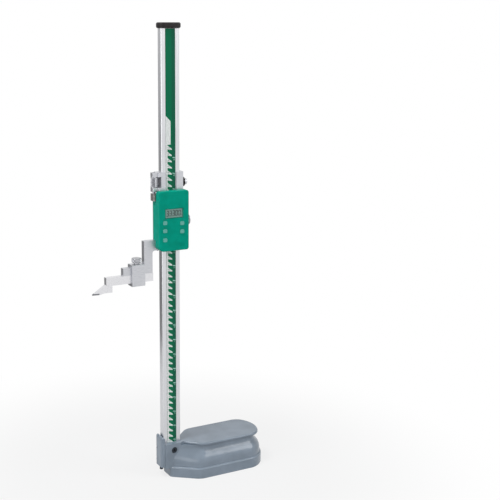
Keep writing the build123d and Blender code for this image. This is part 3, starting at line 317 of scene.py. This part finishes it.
# %% [markdown]
# ## Ground steel
# The column is stainless steel, ground end to end on a long surface grinder and then chromed matt.
# Its grain runs along its length: real scratches are hundredths of a millimetre wide, so they are
# drawn about 0.6 mm wide here, or they would vanish. The working faces of the jaw and frames are
# ground too, but shorter, so their grain is finer and less directed. The scriber is lapped after
# grinding, on a flat plate with a fine paste, which makes it the brightest face of all.

# %% Steels
beam_steel, tree, shader = start_finish("ground stainless steel, lengthwise", Metallic=1.0)
grain = clouds(tree, 0.6, (1, 1, 90), 4.0)
tint(tree, shader, grain, "#C9CACE", "#DCDDDF")
polish(tree, shader, grain, 0.27, 0.4)
relief(tree, shader, grain, 0.006, 0.6)
finishes["beam_steel"] = beam_steel

satin_steel, tree, shader = start_finish("hard chromed steel, satin", Metallic=1.0)
grain = clouds(tree, 0.5, (14, 1, 1), 4.0)
tint(tree, shader, grain, "#BABCC1", "#CDCED2")
polish(tree, shader, clouds(tree, 7), 0.3, 0.44)
relief(tree, shader, grain, 0.006, 0.6)
finishes["satin_steel"] = satin_steel

lapped_steel, tree, shader = start_finish("lapped steel", Metallic=1.0)
grain = clouds(tree, 0.4, (10, 1, 1), 4.0)
tint(tree, shader, grain, "#D6D6DA", "#E6E6E8")
polish(tree, shader, clouds(tree, 6), 0.25, 0.36)
relief(tree, shader, grain, 0.004, 0.6)
print("steels:", [m.name for m in (beam_steel, satin_steel, lapped_steel)])

# %% [markdown]
# The knobs are turned and knurled bright steel. Turning leaves fine rings and the roll of the knurl
# burnishes the tips, so they look livelier than the ground faces: a little smoother, with blotches
# of handling.

# %% Knob steel
knob_steel, tree, shader = start_finish("turned steel, nickel plated", Metallic=1.0)
handled = clouds(tree, 2.2)
tint(tree, shader, handled, "#9FA0A5", "#B9BABD")
polish(tree, shader, handled, 0.22, 0.36)
relief(tree, shader, clouds(tree, 0.35), 0.004)
finishes["knob_steel"] = knob_steel
print("knob steel ready")

# %% [markdown]
# ## Dark metals
# The block that anchors the feed spindle is browned steel, and the screws are black oxide: steel
# whose skin was turned to a thin dark oxide in a hot salt bath. It keeps a metal's gloss but looks
# blue-black, with paler clouds. The scriber's tip is sintered tungsten carbide, ground with a
# diamond wheel: darker and duller than the steel that it is brazed to.

# %% Dark metals
dark_steel, tree, shader = start_finish("browned steel", Metallic=0.9)
skin = clouds(tree, 3.0)
tint(tree, shader, skin, "#878381", "#A39F9D")
polish(tree, shader, skin, 0.36, 0.5)
relief(tree, shader, clouds(tree, 0.4), 0.008)
finishes["dark_steel"] = dark_steel

screw_steel, tree, shader = start_finish("black oxide screw steel", Metallic=0.9)
skin = clouds(tree, 1.2)
tint(tree, shader, skin, "#262B31", "#41464C")
polish(tree, shader, skin, 0.3, 0.45)
relief(tree, shader, clouds(tree, 0.3), 0.006)
finishes["screw_steel"] = screw_steel

carbide, tree, shader = start_finish("ground tungsten carbide", Metallic=1.0)
wheel = clouds(tree, 0.25, (8, 1, 1))
tint(tree, shader, wheel, "#6C6E73", "#8A8C90")
polish(tree, shader, wheel, 0.32, 0.46)
relief(tree, shader, wheel, 0.004)
finishes["carbide"] = carbide
print("dark metals ready")

# %% [markdown]
# ## Yellow metals and nickel
# The gib and the pad under a clamp are brass, because brass slides on steel without scoring it. It
# darkens unevenly as it tarnishes. The contact springs are phosphor bronze under a thin gold
# plating, and the coin cell has a nickel-plated can with a faint brushed swirl.

# %% Brass, gold plate and nickel
brass, tree, shader = start_finish("free-cutting brass", Metallic=1.0)
tarnish = clouds(tree, 4.0)
tint(tree, shader, tarnish, "#A98545", "#CDAE70")
polish(tree, shader, tarnish, 0.28, 0.45)
relief(tree, shader, clouds(tree, 0.5, (1, 1, 20)), 0.005)
finishes["brass"] = brass

spring_metal, tree, shader = start_finish("gold plated phosphor bronze", Metallic=1.0)
plating = clouds(tree, 1.5)
tint(tree, shader, plating, "#C6A45A", "#DDC080")
polish(tree, shader, plating, 0.2, 0.32)
finishes["spring_metal"] = spring_metal

cell_can, tree, shader = start_finish("nickel plated steel can", Metallic=1.0)
swirl = clouds(tree, 0.4, (1, 1, 12))
tint(tree, shader, swirl, "#B1B1B1", "#C8C8C6")
polish(tree, shader, swirl, 0.2, 0.34)
finishes["cell_can"] = cell_can
print("yellow metals and nickel ready")

# %% [markdown]
# ## Moulded plastics
# The housing is ABS, moulded in a tool whose walls were spark-eroded: that leaves a fine even grain
# which scatters light and keeps finger marks from showing. A drift of a few per cent in the pigment
# and a grain of half a millimetre are enough. The buttons are smoother, the top cap and the clamp
# collar are black nylon, and the holder of the display is white polycarbonate.

# %% Green plastics
green_shell, tree, shader = start_finish("moulded ABS, green", Specular_IOR_Level=0.06)
tint(tree, shader, clouds(tree, 14), "#00977F", "#00A189")
polish(tree, shader, clouds(tree, 3), 0.4, 0.52)
relief(tree, shader, clouds(tree, 0.5, detail=2.0), 0.02)
finishes["green_shell"] = green_shell

button_plastic, tree, shader = start_finish("moulded ABS, pale green", Specular_IOR_Level=0.3)
wear = clouds(tree, 1.5)
tint(tree, shader, wear, "#60ACA0", "#74BFB3")
polish(tree, shader, wear, 0.36, 0.5)
relief(tree, shader, clouds(tree, 0.4), 0.01)
finishes["button_plastic"] = button_plastic
print("green plastics ready")

# %% Black and white plastics
black_plastic, tree, shader = start_finish("moulded nylon, black", Specular_IOR_Level=0.25)
scuff = clouds(tree, 5)
tint(tree, shader, scuff, "#181415", "#242021")
polish(tree, shader, scuff, 0.42, 0.6)
relief(tree, shader, clouds(tree, 0.6), 0.02)
finishes["black_plastic"] = black_plastic

white_plastic, tree, shader = start_finish("moulded polycarbonate, white", Roughness=0.45)
tint(tree, shader, clouds(tree, 4), "#CFD0C8", "#E2E3DC")
relief(tree, shader, clouds(tree, 0.5), 0.01)
finishes["white_plastic"] = white_plastic
print("black and white plastics ready")

# %% [markdown]
# The strips that carry the signals from the board up to the display glass are silicone rubber with
# hundreds of thin black conducting layers in it, a tenth of a millimetre apart. They are drawn at
# 0.4 mm, as stripes across X.

# %% Elastomer strips
pink_rubber, tree, shader = start_finish("layered silicone rubber", Roughness=0.6)
layers = stripes(tree, 0.4, "X", Distortion=0.3)
tint(tree, shader, layers, "#3A3033", "#C98692", 0.2, 0.6)
relief(tree, shader, layers, 0.02)
finishes["pink_rubber"] = pink_rubber
print("rubber ready")

# %% [markdown]
# ## Circuit boards
# A board is woven glass and resin under a green lacquer. Its copper tracks show through as slightly
# raised, lighter lines. Here they are two sets of stripes, one across X and one across Z, whose
# crests are the tracks. The long strip under the scale has the same lacquer, and its tracks are the
# pads that the reading head senses.

# %% Circuit boards
circuit_board, tree, shader = start_finish("lacquered glass fibre board", Roughness=0.3,
                                           Coat_Weight=0.4)
tracks = [stripes(tree, pitch, way, Distortion=1.5, Detail=0.0)
          for way, pitch in (("X", 2.54), ("Z", 5.08))]
copper = add(tree, "ShaderNodeMath", {0: tracks[0], 1: tracks[1]}, operation="MAXIMUM").outputs[0]
tint(tree, shader, copper, "#0F4A33", "#2F8059", 0.86, 0.93)
relief(tree, shader, copper, 0.03)
finishes["circuit_board"] = circuit_board
print("boards ready")

# %% [markdown]
# ## Printed scale film
# The front of the column carries a film printed in green. The middle of it is a clear bottle green,
# and both edges are darker, because the print is bled round the edge of the strip. Colour follows X
# alone, through a ramp; a very fine mottle stands for the ink.

# %% Scale film
film_half = 8.5
scale_print, tree, shader = start_finish("screen printed polyester film", Specular_IOR_Level=0.1)
where = add(tree, "ShaderNodeTexCoord")
place = add(tree, "ShaderNodeSeparateXYZ", {0: where.outputs["Object"]})
across = add(tree, "ShaderNodeMapRange", {"Value": place.outputs["X"], "From Min": -film_half * MM,
                                          "From Max": film_half * MM})
ramp = add(tree, "ShaderNodeValToRGB", {"Fac": across.outputs[0]})
for spot, code in ((0.12, "#0A7D54"), (0.58, "#0A7D54"), (0.7, "#1C604B")):
    ramp.color_ramp.elements.new(spot).color = linear(code)
ramp.color_ramp.elements[0].color = linear("#106148")
ramp.color_ramp.elements[-1].color = linear("#1F5D4C")
ink = add(tree, "ShaderNodeMix", {0: clouds(tree, 1.5), 6: ramp.outputs["Color"],
                                  7: linear("#10684A")}, data_type="RGBA")
tree.links.new(ink.outputs[2], shader.inputs["Base Color"])
polish(tree, shader, clouds(tree, 2), 0.3, 0.42)
relief(tree, shader, clouds(tree, 0.5), 0.005)
finishes["scale_print"] = scale_print
print("scale film:", len(ramp.color_ramp.elements), "stops")

# %% [markdown]
# ## Display
# The display is a sandwich: grey-green glass with a reflector behind it, and a clear window in
# front. The window only has to show its gloss, so most of it is see-through. The glass has a faint
# grid of picture cells and drifts from edge to edge, as these reflectors do.

# %% Window and display glass
window_clear, tree, shader = start_finish("clear acrylic", Base_Color=linear("#6F7F7A"),
                                          Alpha=0.08, IOR=1.49)
polish(tree, shader, clouds(tree, 5), 0.04, 0.12)
finishes["window_clear"] = window_clear

lcd_glass, tree, shader = start_finish("reflective display glass", Roughness=0.2, IOR=1.52)
softened = add(tree, "ShaderNodeMix", {0: 0.25, 2: clouds(tree, 9), 3: stripes(tree, 0.5, "Z")})
tint(tree, shader, softened.outputs[0], "#83A9A0", "#97BBB3")
relief(tree, shader, clouds(tree, 2), 0.003)
finishes["lcd_glass"] = lcd_glass
print("display ready")

# %% [markdown]
# ## Dressing the solids
# The record says which finish each solid was made with, so one pass gives every solid its material.
# The scriber then gets its own brighter steel.

# %% Assign
slot_of = {part["node"]: part["material_slot"] for part in frame["record"]["subparts"]}


def dress(thing, material):
    """The whole thing gets one material."""
    if not thing.data.materials:
        thing.data.materials.append(material)
    for i in range(len(thing.data.materials)):
        thing.material_slots[i].link = "OBJECT"
        thing.material_slots[i].material = material


for node, solid in frame["nodes"].items():
    dress(solid, finishes[slot_of[node]])
dress(frame["nodes"]["scriber_bar"], lapped_steel)
print("dressed", len(slot_of), "solids with", len(finishes) + 1, "finishes")

# %% [markdown]
# ## Turned and knurled pieces
# A knob is a profile spun round an axis. A knurl is rolled into it: a hard wheel presses straight
# or crossed ridges into the rim. On a grid of angle and profile step, the radius is the profile's
# own radius minus the ridge pattern, so the knurl is real geometry and shows in the outline of the
# knob. The profile is a closed loop with a bore, or it starts and ends on the axis.

# %% Mesh from arrays
def put_mesh(name, points, faces, body, material):
    """A mesh object from an (n, 3) array in metres and a list of faces; it rides on a body."""
    mesh = bpy.data.meshes.new(name)
    mesh.from_pydata(np.asarray(points).tolist(), [], faces)
    mesh.validate()
    thing = bpy.data.objects.new(name, mesh)
    scene.collection.objects.link(thing)
    dress(thing, material)
    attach(thing, body)
    print(name, len(mesh.vertices), "points,", len(mesh.polygons), "faces")
    return thing


def ring_faces(rows, columns, closed_loop):
    """Quads of a grid whose columns go all the way round; with closed_loop its rows do so too."""
    last = rows if closed_loop else rows - 1
    row, column = np.meshgrid(np.arange(last), np.arange(columns), indexing="ij")
    below, beside = (row + 1) % rows, (column + 1) % columns
    corners = [row * columns + column, row * columns + beside,
               below * columns + beside, below * columns + column]
    return np.stack(corners, -1).reshape(-1, 4).tolist()


def fans(first, last, tips, columns):
    """Triangles that close a grid's ends: its first row to one tip, its last row to the other."""
    here = np.arange(columns)
    ahead = (here + 1) % columns
    near = np.stack([first + here, np.full(columns, tips[0]), first + ahead], -1)
    far = np.stack([last + ahead, np.full(columns, tips[1]), last + here], -1)
    return near.tolist() + far.tolist()


print("mesh tools ready")

# %% Spin a profile with a knurl
def spin(name, profile, centre, along, body, material,
         ridges=0, depth=0.0, slant=0.0, columns=96):
    """Surface of turning. Profile rows are (place along the axis, radius, knurl share) in mm.
    Point = centre + place * axis + r * (cos a * u + sin a * v), r = radius - share * depth * ridge.
    The ridge is a triangle wave of the angle; with a slant, the higher of two that lean apart."""
    profile = np.asarray(profile, float)
    closed_loop = profile[0, 1] > 0
    rows = profile if closed_loop else profile[1:-1]
    angle = np.linspace(0, TURN, columns, endpoint=False)
    place, radius, share = (rows[:, i, None] for i in range(3))
    turned = ridges * angle[None, :] / TURN
    wave = lambda lean: np.abs(((turned + lean * slant * place) % 1) * 2 - 1)
    ridge = np.maximum(wave(1), wave(-1)) if slant else wave(0) + 0 * place
    r = radius - depth * share * ridge
    u, v = {"x": ((0, 1, 0), (0, 0, 1)), "z": ((1, 0, 0), (0, 1, 0))}[along]
    axis = np.cross(u, v)
    outward = np.cos(angle)[:, None] * np.array(u) + np.sin(angle)[:, None] * np.array(v)
    points = (place[..., None] * axis + r[..., None] * outward).reshape(-1, 3)
    faces = ring_faces(len(rows), columns, closed_loop)
    if not closed_loop:
        tips = (len(points), len(points) + 1)
        points = np.vstack([points, [profile[0, 0] * axis, profile[-1, 0] * axis]])
        faces += fans(0, (len(rows) - 1) * columns, tips, columns)
    return put_mesh(name, (points + np.asarray(centre)) * MM, faces, body, material)


# %% Profiles and places
def middle(node):
    """The centre and half size of a solid's box, in mm."""
    low, high = (np.array(corner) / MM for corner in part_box(node))
    return (low + high) / 2, (high - low) / 2


def rim_profile(half, radius, bore, chamfer=0.6, steps=24, plain=0.8):
    """Loop of a knurled disc from -half to half with a bore; each end has a chamfer and a land."""
    edge, land = half - chamfer, half - chamfer - plain * 0.9
    inner = np.linspace(-half + chamfer + plain, half - chamfer - plain, steps)
    knurl = np.column_stack([inner, np.full(steps, radius), np.ones(steps)])
    lead = [(-half, bore, 0), (-half, radius - chamfer, 0), (-edge, radius, 0), (-land, radius, 0)]
    tail = [(land, radius, 0), (edge, radius, 0), (half, radius - chamfer, 0), (half, bore, 0)]
    return np.vstack([lead, knurl, tail])


print("turning tools ready")

# %% [markdown]
# The slider's lock knob is a steel cylinder with a crossed knurl, gripped between finger and thumb
# at the right side of the display. The collar of the carriage's clamp screw is black, with a
# straight knurl, and the bright end of its screw sticks out of it.

# %% Lock knob
centre, half = middle("slider_lock_knob")
knob = spin("lock_knob_knurled", rim_profile(half[0], half[2], bore=1.0), centre, "x",
            "slider_lock_screw", knob_steel,
            ridges=40, depth=0.42, slant=0.75, columns=240)
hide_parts("slider_lock_knob")

# %% Clamp collar
centre, half = middle("carriage_clamp_collar")
collar = spin("clamp_collar_knurled",
              rim_profile(half[0], half[2], bore=2.0, chamfer=0.5, steps=4, plain=0.4), centre, "x",
              "carriage_clamp_screw", black_plastic,
              ridges=36, depth=0.5, columns=216)
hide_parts("carriage_clamp_collar")

# %% [markdown]
# The nut of the fine feed has a straight knurl, so a fingertip can roll it. It sits between the two
# lugs of the carriage, and its bore clears the spindle.

# %% Fine feed nut
centre, half = middle("fine_nut")
nut = spin("feed_nut_knurled",
           rim_profile(half[2], half[0], bore=2.6, chamfer=0.5, steps=12, plain=0.9), centre, "z",
           "fine_adjust_nut", knob_steel, ridges=40, depth=0.45, columns=240)
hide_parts("fine_nut")

# %% [markdown]
# The scriber clamp's knob has a plain neck and a knurled head with a slightly domed top. Its
# profile runs from the axis at the bottom, out over the neck, round the head and back to the axis.

# %% Scriber knob
centre, half = middle("scriber_clamp_knob")
bottom, top, head = -half[2], half[2], half[0]
neck, neck_end = 4.5, bottom + 2.6
grip_steps = 16
grip = np.linspace(neck_end + 1.2, top - 1.7, grip_steps)
below_grip = [(bottom, 0, 0), (bottom, neck, 0), (neck_end - 0.3, neck, 0),
              (neck_end, neck + 0.4, 0), (neck_end + 0.1, head - 0.7, 0), (neck_end + 0.7, head, 0),
              (neck_end + 1.1, head, 0)]
dome = [(top - 1.5, head, 0), (top - 1.0, head, 0), (top - 0.5, head - 0.6, 0),
        (top - 0.3, head - 2.2, 0), (top - 0.1, head - 4.6, 0), (top, 0, 0)]
knurl = np.column_stack([grip, np.full(grip_steps, head), np.ones(grip_steps)])
grip_knob = spin("scriber_knob_knurled", np.vstack([below_grip, knurl, dome]), centre, "z",
                 "scriber_clamp_screw", knob_steel,
                 ridges=38, depth=0.42, slant=0.75, columns=228)
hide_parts("scriber_clamp_knob")

# %% [markdown]
# ## Feed spindle
# The spindle's thread is a helix. On a grid of angle and height, the radius is a triangle wave of
# height minus the share of a turn that the angle has gone: one step along the thread is one pitch.
# The pitch is 0.8 mm, so one turn of the nut moves the carriage 0.8 mm.

# %% Spindle thread
centre, half = middle("fine_spindle")
pitch, root, plain_end, end_cut = 0.8, 0.4, 0.6, 0.7
around, rows_per_pitch = 32, 6
middle_part = np.arange(-half[2] + plain_end, half[2] - plain_end, pitch / rows_per_pitch)
height = np.concatenate([[-half[2]], middle_part, [half[2]]])
angle = np.linspace(0, TURN, around, endpoint=False)
turns = height[:, None] / pitch - angle[None, :] / TURN
thread = half[0] - root * np.abs((turns % 1) * 2 - 1)
thread[[0, -1]] = half[0] - end_cut
points = np.stack([thread * np.cos(angle), thread * np.sin(angle), height[:, None] + 0 * thread],
                  -1).reshape(-1, 3)
tips = (len(points), len(points) + 1)
points = np.vstack([points, [(0, 0, -half[2]), (0, 0, half[2])]]) + centre
faces = ring_faces(len(height), around, False)
faces += fans(0, (len(height) - 1) * around, tips, around)
spindle = put_mesh("feed_spindle_threaded", points * MM, faces, "slider",
                   satin_steel)
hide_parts("fine_spindle")

# %% [markdown]
# ## Printing
# The scale is screen printed: each line and figure is a film of ink a few hundredths of a
# millimetre thick. It is built as that, thin closed prisms on the front of the strip, so it stays
# sharp from any distance. All the prisms of one ink are one piece, made by a few array steps.

# %% Inks
def ink(name, dark, light, roughness=0.45, blobs_mm=1.5):
    """A matt film of ink: its colour drifts in blobs, and it lies a few microns uneven."""
    material, tree, shader = start_finish(name, Roughness=roughness, Specular_IOR_Level=0.3)
    tint(tree, shader, clouds(tree, blobs_mm), dark, light)
    relief(tree, shader, clouds(tree, 0.3), 0.003)
    return material


ink_white = ink("white screen ink", "#E4EBE8", "#F3F7F5", roughness=0.5, blobs_mm=2.5)
ink_green = ink("green screen ink", "#29755C", "#378A6F")
ink_pale = ink("pale green screen ink", "#9BCFBF", "#B5E2D5")
ink_dark = ink("black screen ink", "#242C2A", "#38423F")
print("inks ready")


# %% Prisms of ink
def prisms(outlines, back, front):
    """Closed prisms between two y places, in mm, from an (n, corners, 2) array of (x, z) outlines,
    all turning left seen from the front. Each has the outline as its front, the same reversed as
    its back, and sides between them."""
    outlines = np.asarray(outlines, float)
    count, corners = outlines.shape[:2]
    lay = lambda y: np.stack([outlines[..., 0], np.full((count, corners), y), outlines[..., 1]], -1)
    points = np.concatenate([lay(front), lay(back)], 1).reshape(-1, 3)
    step = (np.arange(count) * 2 * corners)[:, None]
    here = np.arange(corners)[None, :]
    ahead = (here + 1) % corners
    sides = np.stack([here, here + corners, ahead + corners, ahead], -1) + step[..., None]
    ends = (here + step).tolist() + (corners + here[:, ::-1] + step).tolist()
    return points, ends + sides.reshape(-1, 4).tolist()


def slabs(*corners):
    """Outlines from their corners, each an (x, z) pair where x or z may be an array."""
    flat = np.broadcast_arrays(*[side for corner in corners for side in corner])
    return np.stack(flat, -1).reshape(-1, len(corners), 2).astype(float)


print("prism tools ready")


# %% Letters
def figures(name, words, places, tall, back, front, body, material):
    """One piece for many words: each is set in the built-in font, made a mesh, and moved to its
    (x, z) middle. Its letters lie in the plane between back and front."""
    all_points, all_faces, start = [], [], 0
    for word, (x, z) in zip(words, places):
        setting = bpy.data.curves.new(name + "_setting", "FONT")
        setting.body = word
        setting.size = 1.4 * tall
        setting.align_x, setting.align_y = "CENTER", "CENTER"
        setting.extrude = (back - front) / 2
        setting.resolution_u = 2
        maker = bpy.data.objects.new(name + "_maker", setting)
        letters = bpy.data.meshes.new_from_object(maker)
        flat = np.empty(len(letters.vertices) * 3)
        letters.vertices.foreach_get("co", flat)
        flat = flat.reshape(-1, 3)
        all_points.append(np.column_stack([flat[:, 0] + x, (back + front) / 2 - flat[:, 2],
                                           flat[:, 1] + z]))
        all_faces += [[start + i for i in face.vertices] for face in letters.polygons]
        start += len(flat)
        bpy.data.objects.remove(maker)
        bpy.data.curves.remove(setting)
        bpy.data.meshes.remove(letters)
    return put_mesh(name, np.vstack(all_points) * MM, all_faces, body, material)


print("letter tools ready")

# %% [markdown]
# The left edge of the scale is a narrow white ground. Above the last line it widens across the
# strip and ends in a slanting cut. It carries a line for every millimetre, a longer one for every
# fifth and the longest for every tenth. From each centimetre a white pennant falls to the right
# into the green and carries the centimetre's figure.

# %% White ground of the metric scale
strip_low = np.array(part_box("scale_cover_strip")[0]) / MM
face_y = strip_low[1]
ground_y, line_y = face_y - 0.02, face_y - 0.035
zero_z, last_mm, centimetres = 63.0, 504, 51
ground_left, ground_right, ground_low = -8.35, -5.4, strip_low[2] + 0.3
wide_from, wide_to, cut_right, cut_left = 567, 0.2, 604, 613
ground = [[(ground_left, ground_low), (ground_right, ground_low), (ground_right, wide_from),
           (ground_left, wide_from)],
          [(ground_left, wide_from), (wide_to, wide_from), (wide_to, cut_right),
           (ground_left, cut_left)]]
centimetre = zero_z + 10 * np.arange(centimetres)
pennants = slabs((ground_right, centimetre - 3.1), (2.2, centimetre - 4.6),
                 (2.2, centimetre - 2.8), (ground_right, centimetre + 2.7))
points, faces = prisms(np.concatenate([ground, pennants]), face_y, ground_y)
put_mesh("scale_white_ground", points * MM, faces, "base_and_beam", ink_white)

# %% Lines and figures of the metric scale
line_half = 0.09
millimetre = np.arange(last_mm + 1)
length = np.where(millimetre % 10 == 0, 2.2, np.where(millimetre % 5 == 0, 1.7, 1.1))
z, right = zero_z + millimetre, ground_left + length
ticks = slabs((ground_left, z - line_half), (right, z - line_half),
              (right, z + line_half), (ground_left, z + line_half))
points, faces = prisms(ticks, ground_y, line_y)
put_mesh("scale_millimetre_lines", points * MM, faces, "base_and_beam", ink_dark)

figures("scale_centimetre_figures", [str(k) for k in range(centimetres)],
        [(-3.6, z - 1.0) for z in centimetre], 2.6, ground_y, line_y,
        "base_and_beam", ink_green)

# %% [markdown]
# The right edge reads in inches: pale lines on the dark green, one for every tenth, and a long one
# with its figure for every inch, which thickens to the left.

# %% Inch scale
inches, line_half, inch_right = 20, 0.06, 8.3
tenth = np.arange(10 * inches)
tenth = tenth[tenth % 10 != 0]
z = zero_z + 2.54 * tenth
left = inch_right - np.where(tenth % 5 == 0, 1.5, 1.0)
ticks = slabs((left, z - line_half), (inch_right, z - line_half),
              (inch_right, z + line_half), (left, z + line_half))
inch = zero_z + 25.4 * np.arange(inches)
long_lines = slabs((3.4, inch - 0.1), (inch_right, inch - 0.8), (inch_right, inch + 0.5),
                   (3.4, inch + 1.5))
points, faces = prisms(np.concatenate([ticks, long_lines]), face_y, ground_y)
put_mesh("scale_inch_lines", points * MM, faces, "base_and_beam", ink_pale)

figures("scale_inch_figures", [str(k) for k in range(inches)], [(6.0, z - 3.1) for z in inch], 2.6,
        face_y, ground_y, "base_and_beam", ink_pale)

# %% [markdown]
# ## Display figures
# A liquid crystal display draws each figure with seven bars with pointed ends. A small table says
# which bars make which figure; each bar is a six-sided outline, placed by arrays and turned into
# thin prisms on the front of the glass. They lean to the right a little, as on most meters.

# %% Seven bars
glass_low, glass_high = (np.array(corner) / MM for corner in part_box("lcd_glass"))
glass_middle = (glass_low[2] + glass_high[2]) / 2
wide, tall, thick, gap, lean = 3.7, 8.0, 1.25, 0.15, 0.1
flat_bar = np.array([(gap, 0), (thick / 2, -thick / 2), (wide - thick / 2, -thick / 2),
                     (wide - gap, 0), (wide - thick / 2, thick / 2), (thick / 2, thick / 2)])
up_bar = np.column_stack([flat_bar[:, 1], flat_bar[:, 0] * (tall / 2) / wide])[::-1]
dot = np.array([(0, 0), (0.7, 0), (0.9, 0.25), (0.9, 0.7), (0.2, 0.7), (0, 0.4)]) + (-0.95, -0.3)
bar_at = {"a": flat_bar + (0, tall), "g": flat_bar + (0, tall / 2), "d": flat_bar,
          "f": up_bar + (0, tall / 2), "b": up_bar + (wide, tall / 2), "e": up_bar,
          "c": up_bar + (wide, 0)}
lit = {"0": "abcdef", "3": "abcdg"}
print("bars for", list(lit))

# %% Display reading
first_left, next_left = -13.4, wide + 1.55
outlines, x = [], first_left
for sign in "333.00":
    if sign == ".":
        outlines.append(dot + (x, 0))
        continue
    outlines += [bar_at[bar] + (x, 0) for bar in lit[sign]]
    x += next_left
outlines = np.array(outlines)
outlines[..., 0] += lean * outlines[..., 1]
outlines[..., 1] += glass_middle - tall / 2

lcd_ink, tree, shader = start_finish("liquid crystal, dark", Roughness=0.35)
tint(tree, shader, clouds(tree, 1.0), "#1A2825", "#263632")
film_y = glass_low[1] - 0.03
points, faces = prisms(outlines, glass_low[1], film_y)
put_mesh("display_figures", points * MM, faces, "slider", lcd_ink)
figures("display_unit", ["mm"], [(13.9, glass_middle - 2.6)], 1.6, glass_low[1], film_y,
        "slider", lcd_ink)

# %% [markdown]
# ## Legends
# Above each button the housing says what it does, in small dark letters. The words are the plain
# ones of any digital gauge.

# %% Button legends
shell_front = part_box("display_housing")[0][1] / MM
legends = {"power_button": "ON/OFF", "zero_button": "ZERO", "unit_button": "mm/in",
           "preset_button": "SET", "hold_button": "HOLD"}
spots = [middle(button) for button in legends]
figures("button_legends", list(legends.values()), [(c[0], c[2] + h[2] + 1.5) for c, h in spots],
        1.5, shell_front, shell_front - 0.03, "slider", ink_dark)
